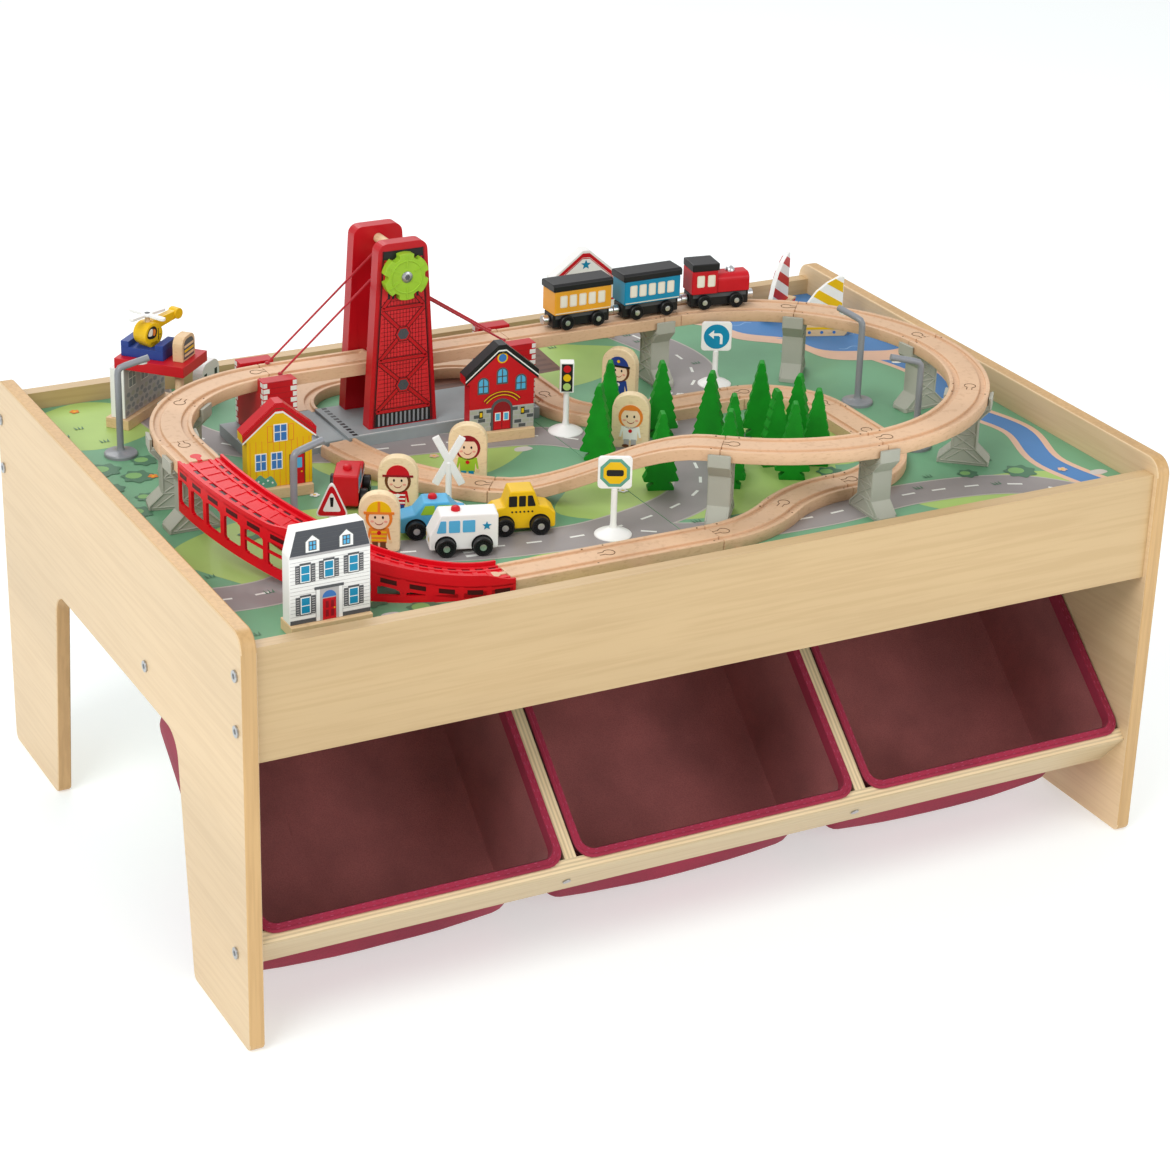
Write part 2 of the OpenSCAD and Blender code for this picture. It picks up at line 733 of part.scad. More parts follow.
module track_piers() color("#A9AA9B") {
    left_x = left_centre.x - left_r;
    half_turn = sqrt(1 / 2);
    translate([left_x, (ramp_centre.y + left_centre.y) / 2, board_z]) rotate([0, 0, 90]) pier();
    translate([left_centre.x - left_r * half_turn, left_centre.y + left_r * half_turn, board_z])
        rotate([0, 0, 45]) pier();
    left_spot = left_centre + left_r * [cos(left_pier_turn), sin(left_pier_turn)];
    translate([left_spot.x, left_spot.y, board_z]) rotate([0, 0, left_pier_turn - 90]) pier();
    for (k = [0:len(big_joints) - 2]) {
        spot = big_centre + big_r * [cos(big_joints[k]), sin(big_joints[k])];
        translate([spot.x, spot.y, board_z]) rotate([0, 0, big_joints[k] - 90]) pier();
    }
    translate([rear_joint_x, rear_y, board_z]) pier();
    translate([ess_end.x, ess_end.y, board_z]) rotate([0, 0, -ess_turn]) pier();
}

module bridge_base()
    color("#9AA3A6") difference() {
        translate([pillar_left - base_end, base_front, board_z])
            cube([pillar_right - pillar_left + base_end, base_rear - base_front, base_t]);
        for (side = [-1, 1])
            translate([cross_x + side * gauge / 2 - groove_w / 2, base_front - cut, base_top - groove_deep])
                cube([groove_w, base_rear - base_front + 2 * cut, groove_deep + cut]);
    }

module bridge_towers()
    color("#C81F2A") difference() {
        for (side = [-1, 1])
            translate([bridge_x, rear_y + side * tower_y, base_top]) upright(tower_t)
                polygon(rounded([[-tower_foot_w / 2, 0], [tower_foot_w / 2, 0], [tower_top_w / 2, tower_h],
                    [-tower_top_w / 2, tower_h]], [0, 0, axle_d, axle_d]));
        for (z = [winch_z, crossbar_z])
            translate([bridge_x, rear_y, z]) cross_rod(axle_d + 2 * fit_gap, 4 * tower_y);
        for (x = [left_hinge_x, right_hinge_x])
            translate([x, rear_y, hinge_z]) cross_rod(pin_d + 2 * fit_gap, 4 * tower_y);
    }

// At each end of the bridge a wall carries the deck between two pillars
module bridge_end_pillars()
    color("#C81F2A") for (x = [left_end_x, right_end_x]) translate([x - pillar_l / 2, rear_y, base_top])
        difference() {
            translate([0, -tower_inner - pillar_t, 0])
                cube([pillar_l, 2 * (tower_inner + pillar_t), deck_top + pillar_rise - base_top]);
            translate([-cut, -tower_inner, deck_z - base_top])
                cube([pillar_l + 2 * cut, 2 * tower_inner, deck_top + pillar_rise]);
        }

module bridge_dowels() color("#E0C39A") {
    reach = 2 * (tower_inner + tower_t);
    translate([bridge_x, rear_y, crossbar_z]) cross_rod(axle_d, reach);
    for (x = [left_hinge_x, right_hinge_x]) translate([x, rear_y, hinge_z]) cross_rod(pin_d, reach);
}

// The winch: an axle with its spool, the notched knob on its front end, and the knob's screw
module bridge_winch() {
    front = -tower_inner - tower_t;
    knob_face = front - side_gap - knob_t;
    spool_l = 2 * tower_inner - leaf_gap;
    notches = 6;
    notch_d = knob_d / notches;
    translate([bridge_x, rear_y, winch_z]) {
        color("#E0C39A") {
            cross_rod(spool_d, spool_l);
            translate([0, (knob_face - front) / 2, 0]) cross_rod(axle_d, -front - knob_face);
        }
        color("#A6C936") translate([0, knob_face + knob_t / 2, 0]) difference() {
            cross_rod(knob_d, knob_t);
            cross_rod(axle_d + fit_gap, 2 * knob_t);
            for (k = [0:notches - 1]) rotate([0, k * 360 / notches, 0])
                translate([knob_d / 2, 0, 0]) cross_rod(notch_d, 2 * knob_t);
        }
        color("#8C8F93") translate([0, knob_face - screw_head_h / 2, 0]) cross_rod(spool_d, screw_head_h);
    }
}

// A bridge leaf from its hinge to its free end, with a round knuckle on the hinge pin
module leaf(hinge_x, end_x)
    color("#D9B08C") difference() {
        union() {
            straight_track([hinge_x, rear_y], [end_x, rear_y], deck_z);
            translate([hinge_x, rear_y, hinge_z]) cross_rod(track_t, track_w);
        }
        translate([hinge_x, rear_y, hinge_z]) cross_rod(pin_d + 2 * fit_gap, 2 * track_w);
    }

module left_leaf() leaf(left_hinge_x, left_end_x);
module right_leaf() leaf(right_hinge_x, right_end_x);

// Two cords from a leaf's free end up to the spool, which takes both leaves' cords as it turns one way
module leaf_cords(end_x, side) {
    reach = spool_d / 2 + cord_d;
    start = [end_x - side * cord_inset, deck_top + cord_d / 2];
    way = start - [bridge_x, winch_z];
    turn = atan2(way.y, way.x) - acos(reach / norm(way));
    color("#C8202C") for (edge = [-1, 1])
        rod_between([start.x, rear_y + edge * cord_anchor, start.y],
            [bridge_x + reach * cos(turn), rear_y + edge * cord_anchor, winch_z + reach * sin(turn)], cord_d);
}

module left_cords() leaf_cords(left_end_x, -1);
module right_cords() leaf_cords(right_end_x, 1);

// A flat wooden building on its block, facing the front
module building(outline, w, paint) {
    color("#DDBE93") translate([-w / 2, -house_block_d / 2, 0]) cube([w, house_block_d, house_block_h]);
    color(paint) translate([0, 0, house_block_h]) upright(house_t) polygon(outline);
}

// The front of a gabled building, with a flat crest and eaves that reach past its walls
function gabled(w, wall, gable) =
    let (eave = w * (1 + eave_share) / 2, drop = wall - gable * eave_drop_share, crest = w * crest_share,
        top = wall + gable)
    [[-w / 2, 0], [w / 2, 0], [w / 2, drop], [eave, drop], [eave, wall], [crest, top], [-crest, top],
        [-eave, wall], [-eave, drop], [-w / 2, drop]];
crest_share = 0.06;
eave_share = 0.14;
eave_drop_share = 0.30;

// The yellow house is a little smaller than the other two
module gabled_house(share, paint)
    building(gabled(house_w * share, house_wall_h * share, house_gable_h * share), house_w * share, paint);
cottage_share = 0.94;
module yellow_house()
    on_board(yellow_house_shares, yellow_house_yaw) gabled_house(cottage_share, "#EFB810");
module fire_station() on_board(fire_station_shares, fire_station_yaw) gabled_house(1, "#C3182B");
module hospital() on_board(hospital_shares, hospital_yaw) gabled_house(1, "#F2F2F0");

// The white house has a hipped roof
hip_share = 0.42;
module white_house() {
    w = white_house_w;
    wall = white_house_wall_h;
    top = wall + white_house_roof_h;
    outline = [[-w / 2, 0], [w / 2, 0], [w / 2, wall], [w * hip_share, top], [-w * hip_share, top],
        [-w / 2, wall]];
    on_board(white_house_shares) building(outline, w + 2 * rest_gap, "#F4F4F2");
}

// The raised deck stands on a printed wall and a post, and carries the cradle and an arch block
pad_post_d = 9;
pad_post_shares = [-0.30, -0.37];
pad_wall_l_share = 1.10;
pad_block_share = 1.06;
cradle_bar = 10;
cradle_lip = 6;
cradle_shares = [-0.07, 0.15];
cradle_w_share = 0.53;
cradle_l_share = 0.61;
lip_share = 0.19;
arch_shares = [0, -0.34];
arch_w_share = 0.52;
arch_h_share = 0.33;
arch_r_share = 0.32;
hut_shares = [-0.598, 0.585];
hut_w_share = 0.50;
hut_h_share = 0.55;
module helicopter_pad() {
    wall_l = pad_l * pad_wall_l_share;
    arch_w = pad_w * arch_w_share;
    hut_w = pad_l * hut_w_share;
    color("#D22027") on_board(pad_shares, pad_yaw)
        translate([-pad_w / 2, -pad_l / 2, pad_rise]) cube([pad_w, pad_l, pad_t]);
    on_board(pad_wall_shares, pad_wall_yaw) {
        color("#DDBE93") translate([-wall_l * pad_block_share / 2, -house_block_d / 2, 0])
            cube([wall_l * pad_block_share, house_block_d, house_block_h]);
        color("#F2F2F0") translate([-wall_l / 2, -house_t / 2, house_block_h])
            cube([wall_l, house_t, pad_rise - house_block_h]);
    }
    on_board(pad_shares, pad_yaw) {
        color("#DDBE93") translate([pad_post_shares.x * pad_w, pad_post_shares.y * pad_l, 0])
            cylinder(d = pad_post_d, h = pad_rise);
        color("#DDBE93") translate([arch_shares.x * pad_w, arch_shares.y * pad_l, pad_rise + pad_t])
            upright(flat_t) polygon(rounded(box_points(arch_w, 0, pad_l * arch_h_share),
                [0, 0, arch_w * arch_r_share, arch_w * arch_r_share]));
        color("#24408E") translate([cradle_shares.x * pad_w, cradle_shares.y * pad_l, pad_rise + pad_t])
            rotate([0, 0, 90]) upright(pad_w * cradle_w_share) polygon(cradle_outline());
    }
    color("#F2F2F0") on_board(hut_shares, pad_wall_yaw) upright(flat_t)
        polygon(rounded(box_points(hut_w, 0, pad_l * hut_h_share),
            [0, 0, hut_w * arch_r_share, hut_w * arch_r_share]));
}

// The cradle's front: a bar with a raised lip at each end
function cradle_outline() =
    let (l = pad_l * cradle_l_share, inner = l * (1 / 2 - lip_share), top = cradle_bar + cradle_lip)
    [[-l / 2, 0], [l / 2, 0], [l / 2, top], [inner, top], [inner, cradle_bar], [-inner, cradle_bar],
        [-inner, top], [-l / 2, top]];

// The helicopter sits on the cradle, between its lips
heli_t_share = 0.72;
boom_share = 1.60;
boom_t_share = 0.34;
fin_share = 0.47;
mast_share = 0.22;
rotor_gap = 0.4;
heli_floor = pad_rise + pad_t + cradle_bar;
mast_d = cabin_d * mast_share;
mast_top = heli_floor + cabin_d * (1 + mast_share);
module helicopter() {
    boom_t = cabin_d * boom_t_share;
    color("#F2C21A") on_board(heli_shares, heli_yaw) translate([0, 0, heli_floor]) {
        upright(cabin_d * heli_t_share) {
            translate([0, cabin_d / 2]) circle(d = cabin_d);
            translate([-cabin_d * hip_share / 2, 0]) square([cabin_d * hip_share, cabin_d / 2]);
        }
        translate([0, 0, cabin_d / 2]) upright(boom_t)
            polygon([[0, 0], [cabin_d * boom_share, cabin_d * fin_share - boom_t / 2],
                [cabin_d * boom_share, cabin_d * fin_share + boom_t / 2], [0, boom_t * 3 / 2]]);
        translate([cabin_d * boom_share, 0, cabin_d * (1 / 2 + fin_share)])
            cross_rod(cabin_d * fin_share, boom_t);
        cylinder(d = mast_d, h = mast_top - heli_floor);
    }
}

// Four blades on a hub that turns on the mast's top
blade_w_share = 0.26;
module helicopter_rotor() {
    blade_w = blade_l * blade_w_share;
    hub_d = mast_d * 2;
    color("#F4F4F2") on_board(heli_shares, heli_yaw) translate([0, 0, mast_top + rotor_gap]) {
        cylinder(d = hub_d, h = blade_w / 2);
        for (turn = [0, 90]) rotate([0, 0, turn])
            translate([-blade_l, -blade_w / 2, 0]) cube([2 * blade_l, blade_w, blade_w / 2]);
    }
}

// A boat is a hull with a flat sail standing on it
hull_h_share = 0.19;
bow_share = 0.36;
sail_shares = [[-0.34, 0], [0.32, 0], [0.32, 1], [0.24, 0.99], [0.06, 0.86], [-0.10, 0.68], [-0.22, 0.46],
    [-0.30, 0.22]];
module sailboats()
    for (k = [0:len(boat_shares) - 1]) on_board(boat_shares[k], boat_yaws[k]) {
        hull_h = boat_h * hull_h_share;
        color("#DDBE93") upright(house_t) polygon([[-boat_l * bow_share, 0], [boat_l * bow_share, 0],
            [boat_l / 2, hull_h], [-boat_l / 2, hull_h]]);
        color("#E0B23A") translate([0, 0, hull_h]) upright(flat_t / 2)
            polygon(scaled(sail_shares, boat_l, boat_h - hull_h));
    }

// A tree stands on a flared stump, and its edge steps in and out from its skirt to its blunt tip
tree_tiers = 7;
stump_w_share = 0.74;
waist_w_share = 0.40;
stump_h_share = 0.11;
tier_lip_share = 0.20;
tier_bite_share = 0.90;
taper_share = 0.86;
module trees() {
    stump_h = tree_h * stump_h_share;
    tier_h = (tree_h - stump_h) / tree_tiers;
    function reach(k) = tree_w / 2 * (1 - taper_share * k / tree_tiers);
    function level(k) = stump_h + k * tier_h;
    stump = [[tree_w * stump_w_share / 2, 0], [tree_w * stump_w_share / 2, stump_h / 3],
        [tree_w * waist_w_share / 2, stump_h]];
    edge = [for (k = [0:tree_tiers - 1]) each [[reach(k), level(k + tier_lip_share)],
        [reach(k + 1) * tier_bite_share, level(k + 1)]]];
    right = concat(stump, edge);
    left = [for (k = [len(right) - 1:-1:0]) [-right[k].x, right[k].y]];
    color("#0E8A1E") for (k = [0:len(tree_shares) - 1]) on_board(tree_shares[k], tree_yaws[k])
        upright(flat_t) polygon(concat(right, left));
}

// Figures are round-headed slabs that stand on the board
head_r_share = 0.46;
foot_r_share = 0.10;
module figures() {
    foot_r = figure_w * foot_r_share;
    head_r = figure_w * head_r_share;
    color("#E8CFA3") for (k = [0:len(figure_shares) - 1]) on_board(figure_shares[k], figure_yaws[k])
        upright(flat_t) polygon(rounded(box_points(figure_w, 0, figure_h), [foot_r, foot_r, head_r, head_r]));
}

// A bent lamp post on a round foot
foot_t = 4;
arm_rise_share = 0.22;
module street_lamps() color("#8A8C90")
    for (k = [0:len(lamp_shares) - 1]) on_board(lamp_shares[k], lamp_yaws[k]) {
        cylinder(d = lamp_foot_d, h = foot_t);
        cylinder(d = lamp_d, h = lamp_h);
        translate([0, 0, lamp_h]) sphere(d = lamp_d);
        rod_between([0, 0, lamp_h], [lamp_reach, 0, lamp_h + lamp_reach * arm_rise_share], lamp_d);
    }

// A sign's post on its domed foot, with the children as the plate at the post's top
module sign(shares, h, yaw = sign_yaw) on_board(shares, yaw) {
    color("#F4F4F2") cylinder(d1 = sign_foot_d, d2 = sign_post_d, h = foot_t * 2);
    color("#F4F4F2") cylinder(d = sign_post_d, h = h);
    color("#F4F4F2") translate([0, 0, h]) upright(sign_plate_t) children();
}

// Heights of the signs' posts, in shares of a figure's height, and their plates
warning_post_share = 0.28;
cross_post_share = 0.58;
octagon_post_share = 0.82;
arrow_post_share = 0.66;
signal_post_share = 0.76;
plate_r_share = 0.12;
cross_arm_share = 0.22;
cross_l_share = 1.70;
signal_h_share = 1.0;
cross_turn = 62;
signal_w_share = 0.44;
triangle_h_share = 1.16;
module square_plate() {
    r = sign_plate * plate_r_share;
    polygon(rounded(box_points(sign_plate, 0, sign_plate), [r, r, r, r]));
}
module road_signs() {
    r = sign_plate * plate_r_share;
    sign(warning_shares, figure_h * warning_post_share)
        polygon(rounded([[-sign_plate / 2, 0], [sign_plate / 2, 0], [0, sign_plate * triangle_h_share]],
            [r, r, r]));
    sign(cross_shares, figure_h * cross_post_share + sign_plate / 2)
        for (turn = [-cross_turn, cross_turn]) rotate(turn)
            square([sign_plate * cross_l_share, sign_plate * cross_arm_share], center = true);
    sign(octagon_shares, figure_h * octagon_post_share) square_plate();
    sign(arrow_shares, figure_h * arrow_post_share) square_plate();
    on_board(signal_shares, sign_yaw) color("#F4F4F2") {
        cylinder(d1 = sign_foot_d, d2 = sign_post_d, h = foot_t * 2);
        cylinder(d = sign_post_d, h = figure_h * signal_post_share);
        translate([0, 0, figure_h * signal_post_share]) upright(flat_t)
            polygon(box_points(sign_plate * signal_w_share, 0, sign_plate * signal_h_share));
    }
}

// Road vehicles: side outlines as shares of a vehicle's length and of its height
ambulance_h = 35;
police_h = 30;
taxi_h = 38;
truck_h = 32;
ambulance_outline_shares = [[-0.50, 0], [0.50, 0], [0.50, 0.42], [0.34, 1], [-0.50, 1]];
police_outline_shares = [[-0.50, 0], [0.50, 0], [0.50, 0.50], [0.28, 0.62], [0.14, 1], [-0.22, 1],
    [-0.38, 0.66], [-0.50, 0.62]];
taxi_outline_shares = [[-0.50, 0], [0.50, 0], [0.50, 0.40], [0.40, 0.55], [0.26, 0.60], [0.18, 1], [-0.18, 1],
    [-0.26, 0.60], [-0.40, 0.55], [-0.50, 0.40]];
truck_outline_shares = [[-0.50, 0], [0.50, 0], [0.50, 1], [-0.06, 1], [-0.06, 0.70], [-0.50, 0.70]];
beacon_d_share = 0.36;
beacon_x_share = 0.10;
cab_beacon_share = 0.22;
car_r_share = 0.06;
car_axle_z = car_wheel_d / 2 + rest_gap;

// A vehicle's body with its axle bores, and a beacon on its roof where it has one
module vehicle(shares, yaw, outline_shares, h, paint, beacon = true, beacon_x = beacon_x_share) {
    outline = scaled(outline_shares, car_l, h);
    beacon_d = car_w * beacon_d_share;
    on_board(shares, yaw) {
        color(paint) difference() {
            translate([0, 0, car_floor]) upright(car_w)
                polygon(rounded(outline, [for (p = outline) car_l * car_r_share]));
            for (end = [-1, 1])
                translate([end * car_wheelbase / 2, 0, car_axle_z])
                    cross_rod(car_axle_d + 2 * fit_gap, 2 * car_w);
        }
        if (beacon) color("#D22027") translate([car_l * beacon_x, 0, car_floor + h])
            cylinder(d = beacon_d, h = beacon_d / 2);
    }
}

// Two wheels on their axle
module wheel_pair(axle_d, wheel_d, wheel_w, inner_w) {
    cross_rod(axle_d, inner_w + 2 * wheel_w);
    for (side = [-1, 1]) translate([0, side * (inner_w + wheel_w) / 2, 0]) cross_rod(wheel_d, wheel_w);
}

module car_wheels(shares, yaw, end)
    color("#1C1C1E") on_board(shares, yaw) translate([end * car_wheelbase / 2, 0, car_axle_z])
        wheel_pair(car_axle_d, car_wheel_d, car_wheel_w, car_w + 2 * side_gap);

module ambulance() vehicle(ambulance_shares, car_yaw, ambulance_outline_shares, ambulance_h, "#F4F4F2");
module ambulance_front_wheels() car_wheels(ambulance_shares, car_yaw, 1);
module ambulance_rear_wheels() car_wheels(ambulance_shares, car_yaw, -1);
module police_car() vehicle(police_shares, car_yaw, police_outline_shares, police_h, "#3FA7D6");
module police_front_wheels() car_wheels(police_shares, car_yaw, 1);
module police_rear_wheels() car_wheels(police_shares, car_yaw, -1);
module taxi() vehicle(taxi_shares, taxi_yaw, taxi_outline_shares, taxi_h, "#F2BE12", false);
module taxi_front_wheels() car_wheels(taxi_shares, taxi_yaw, 1);
module taxi_rear_wheels() car_wheels(taxi_shares, taxi_yaw, -1);
module fire_truck()
    vehicle(truck_shares, truck_yaw, truck_outline_shares, truck_h, "#D22027", true, cab_beacon_share);
module truck_front_wheels() car_wheels(truck_shares, truck_yaw, 1);
module truck_rear_wheels() car_wheels(truck_shares, truck_yaw, -1);

// The train: each car has a chassis between its wheels, a body above them and a magnet at each end
train_axle_z = train_wheel_d / 2 + rest_gap;
train_wall_z = train_floor + chassis_t;
magnet_d_share = 0.34;
roof_lap_share = 0.05;
module on_track(x, y, yaw = 0) translate([x, y, deck_top]) rotate([0, 0, yaw]) children();

module chassis() {
    w = gauge - train_wheel_w - 2 * side_gap;
    magnet_d = train_w * magnet_d_share;
    color("#1C1C1E") difference() {
        translate([-coach_l / 2, -w / 2, train_floor]) cube([coach_l, w, chassis_t]);
        for (end = [-1, 1])
            translate([end * train_wheelbase / 2, 0, train_axle_z])
                cross_rod(train_axle_d + 2 * fit_gap, 2 * w);
    }
    color("#B9BBBE") for (end = [-1, 1])
        translate([end * coach_l / 2, 0, train_floor + chassis_t / 2]) rotate([0, end * 90, 0])
            cylinder(d = magnet_d, h = coupler_l);
}

module coach(x, paint) on_track(x, rear_y) {
    roof_l = coach_l * (1 + roof_lap_share);
    roof_w = train_w * (1 + roof_lap_share);
    chassis();
    color(paint) translate([-coach_l / 2, -train_w / 2, train_wall_z]) cube([coach_l, train_w, coach_wall_h]);
    color("#1C1C1E") translate([-roof_l / 2, -roof_w / 2, train_wall_z + coach_wall_h])
        cube([roof_l, roof_w, roof_t]);
}

module train_wheels(x, y, yaw, end)
    color("#1C1C1E") on_track(x, y, yaw) translate([end * train_wheelbase / 2, 0, train_axle_z])
        wheel_pair(train_axle_d, train_wheel_d, train_wheel_w, gauge - train_wheel_w);

// The locomotive has a cab at its rear, a round-topped boiler in front of it and a dome on the boiler
cab_l_share = 0.44;
boiler_w_share = 0.88;
boiler_h_share = 0.78;
boiler_r_share = 0.28;
dome_share = 0.38;
module locomotive() on_track(loco_x, loco_y, loco_yaw) {
    cab_l = coach_l * cab_l_share;
    boiler_w = train_w * boiler_w_share;
    boiler_h = coach_wall_h * boiler_h_share;
    boiler_r = boiler_w * boiler_r_share;
    boiler_l = coach_l - cab_l;
    dome_d = train_w * dome_share;
    chassis();
    color("#D22027") {
        translate([-coach_l / 2, -train_w / 2, train_wall_z]) cube([cab_l, train_w, coach_wall_h]);
        translate([-coach_l / 2 + cab_l, 0, train_wall_z]) rotate([90, 0, 90]) linear_extrude(boiler_l)
            polygon(rounded(box_points(boiler_w, 0, boiler_h), [0, 0, boiler_r, boiler_r]));
    }
    roof_w = train_w * (1 + roof_lap_share);
    color("#1C1C1E") translate([-coach_l / 2, -roof_w / 2, train_wall_z + coach_wall_h])
        cube([cab_l * (1 + roof_lap_share), roof_w, roof_t]);
    color("#C9CBCE") translate([coach_l / 2 - boiler_l / 2, 0, train_wall_z + boiler_h])
        sphere(d = dome_d);
}

module loco_front_wheels() train_wheels(loco_x, loco_y, loco_yaw, 1);
module loco_rear_wheels() train_wheels(loco_x, loco_y, loco_yaw, -1);
module blue_coach() coach(blue_x, "#1F93BF");
module blue_front_wheels() train_wheels(blue_x, rear_y, 0, 1);
module blue_rear_wheels() train_wheels(blue_x, rear_y, 0, -1);
module yellow_coach() coach(yellow_x, "#F0A92E");
module yellow_front_wheels() train_wheels(yellow_x, rear_y, 0, 1);
module yellow_rear_wheels() train_wheels(yellow_x, rear_y, 0, -1);

left_end_panel();
right_end_panel();
front_apron();
rear_apron();
board_cleats();
playboard();
rack_front_rail();
rack_rear_rail();
rack_dividers();
frame_fasteners();
bin_left();
bin_middle();
bin_right();
upper_track();
descending_track();
lower_track();
plastic_ramp();
track_piers();
bridge_base();
bridge_towers();
bridge_end_pillars();
bridge_dowels();
bridge_winch();
left_leaf();
right_leaf();
left_cords();
right_cords();
yellow_house();
fire_station();
white_house();
hospital();
helicopter_pad();
helicopter();
helicopter_rotor();
sailboats();
trees();
figures();
street_lamps();
road_signs();
ambulance();
ambulance_front_wheels();
ambulance_rear_wheels();
police_car();
police_front_wheels();
police_rear_wheels();
taxi();
taxi_front_wheels();
taxi_rear_wheels();
fire_truck();
truck_front_wheels();
truck_rear_wheels();
locomotive();
loco_front_wheels();
loco_rear_wheels();
blue_coach();
blue_front_wheels();
blue_rear_wheels();
yellow_coach();
yellow_front_wheels();
yellow_rear_wheels();
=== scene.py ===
import math

import bmesh
import bpy
from mathutils import Matrix, Vector, noise


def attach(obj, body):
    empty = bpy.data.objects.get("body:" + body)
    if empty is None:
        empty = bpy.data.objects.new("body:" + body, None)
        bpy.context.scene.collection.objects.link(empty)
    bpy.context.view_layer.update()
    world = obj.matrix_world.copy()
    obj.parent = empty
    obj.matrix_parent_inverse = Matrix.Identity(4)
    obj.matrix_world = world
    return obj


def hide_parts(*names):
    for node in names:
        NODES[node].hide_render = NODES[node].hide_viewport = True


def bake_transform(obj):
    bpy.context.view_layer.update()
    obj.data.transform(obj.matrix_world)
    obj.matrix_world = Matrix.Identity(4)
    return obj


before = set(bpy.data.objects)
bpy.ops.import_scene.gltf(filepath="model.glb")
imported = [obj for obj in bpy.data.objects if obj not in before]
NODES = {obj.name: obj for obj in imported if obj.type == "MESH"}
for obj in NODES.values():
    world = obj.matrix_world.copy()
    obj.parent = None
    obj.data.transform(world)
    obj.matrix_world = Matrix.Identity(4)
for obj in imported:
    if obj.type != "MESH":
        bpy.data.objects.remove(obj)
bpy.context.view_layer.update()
MM = 0.001

# Sizes and places of the part, in millimetres
PLAN = 472.5
BOARD_Z = 380.5
BOARD_HALF_D = 315.7
BOARD_LEAVES = ((-471.7, -0.5), (0.5, 471.7))
LOW_TOP = 392.5
DECK_TOP = 457.0
REAR_Y = 137.03
REAR_JOINT = (170.0, REAR_Y, 0)
FRONT_JOINT = (48.3, -214.2, -38)
BIG_LOOP = (189.95, -63, 200)
LEFT_LOOP = (-272, -5.95, 143)
BRIDGE_X = -139.86
TOWER_FACE = 37.501
WINCH_Z = 551.5
RACK_Y = -332.0
RACK_Z = 106.0
BAY_PITCH = 319.0
TILT = math.radians(41)
BIN_HALF_W = 151.5
BIN_FRONT = 15.0
BIN_REAR = 284.0
BIN_MIDDLE = 150
BIN_DEPTH = 129.0
BIN_ROUND = 16.0
BIN_SAG = 8.0
HEM_FRONT = 9.5
HEM_REAR = 289.5
BLOCK_H = 11.0
BLOCK_HALF = 13
HOUSE_HALF = 8
SHEET_HALF = 5.5
CAR_L = 64
CAR_LOW = 5
CAR_HALF = 12
AXLE_REACH = 17
COACH_L = 66
COACH_HALF = 14


# Materials
def rgb(code):
    """Linear colour from a six-digit code."""
    parts = [int(code[i:i + 2], 16) / 255 for i in (1, 3, 5)]
    return [p / 12.92 if p <= 0.04045 else ((p + 0.055) / 1.055) ** 2.4 for p in parts] + [1]


def shade(code, factor):
    return [min(1, c * factor) for c in rgb(code)[:3]] + [1]


WHITE = [1, 1, 1, 1]


class Skin:
    """A material that is put together from nodes."""

    def __init__(self, name, rough, **sockets):
        self.material = bpy.data.materials.new(name)
        self.material.use_nodes = True
        self.tree = self.material.node_tree
        self.shader = self.tree.nodes["Principled BSDF"]
        self.shader.inputs["Roughness"].default_value = rough
        for socket, value in sockets.items():
            self.shader.inputs[socket.replace("_", " ")].default_value = value

    def node(self, kind, links=(), **values):
        """A new node, with links into its sockets and values on them."""
        added = self.tree.nodes.new("ShaderNode" + kind)
        for source, socket in links:
            self.tree.links.new(source, added.inputs[socket])
        for socket, value in values.items():
            added.inputs[socket].default_value = value
        return added

    def place(self, **values):
        """The piece's own place, turned or stretched."""
        own = self.node("TexCoord").outputs["Object"]
        return self.node("Mapping", [(own, "Vector")], **values).outputs["Vector"]

    def noise(self, scale, stretch=(1, 1, 1), detail=4.0):
        place = self.place(Scale=stretch)
        return self.node("TexNoise", [(place, "Vector")], Scale=scale, Detail=detail).outputs["Fac"]

    def tones(self, source, *stops):
        """Colours that follow a value, given by their places on it."""
        ramp = self.node("ValToRGB", [(source, "Fac")])
        elements = ramp.color_ramp.elements
        while len(elements) < len(stops):
            elements.new(0.5)
        for element, (place, colour) in zip(elements, stops):
            element.position = place
            element.color = colour
        return ramp.outputs["Color"]

    def times(self, first, second, factor):
        """One colour multiplied by another."""
        mix = self.node("Mix", Factor=factor)
        mix.data_type = "RGBA"
        mix.blend_type = "MULTIPLY"
        self.tree.links.new(first, mix.inputs[6])
        self.tree.links.new(second, mix.inputs[7])
        return mix.outputs[2]

    def done(self, colour, relief, strength, depth):
        bump = self.node("Bump", [(relief, "Height")], Strength=strength, Distance=depth)
        self.tree.links.new(colour, self.shader.inputs["Base Color"])
        self.tree.links.new(bump.outputs["Normal"], self.shader.inputs["Normal"])
        return self.material


def wood(name, code, along, contrast=0.1):
    """Wood with broad tones and fine fibres that run along one axis."""
    skin = Skin(name, 0.42, Coat_Weight=0.12, Coat_Roughness=0.3)
    broad, fine = [5.0] * 3, [90.0] * 3
    broad[along], fine[along] = 0.8, 3.0
    tones = skin.tones(skin.noise(1.6, broad, 5.0), (0.34, shade(code, 1 - contrast)), (0.5, rgb(code)),
                       (0.66, shade(code, 1 + contrast * 0.7)))
    fibre = skin.noise(3.0, fine, 3.0)
    dark = 1 - contrast * 1.3
    fibres = skin.tones(fibre, (0.38, [dark, dark * 0.97, dark * 0.93, 1]), (0.58, WHITE))
    return skin.done(skin.times(tones, fibres, 0.75), fibre, 0.1, 0.0006)


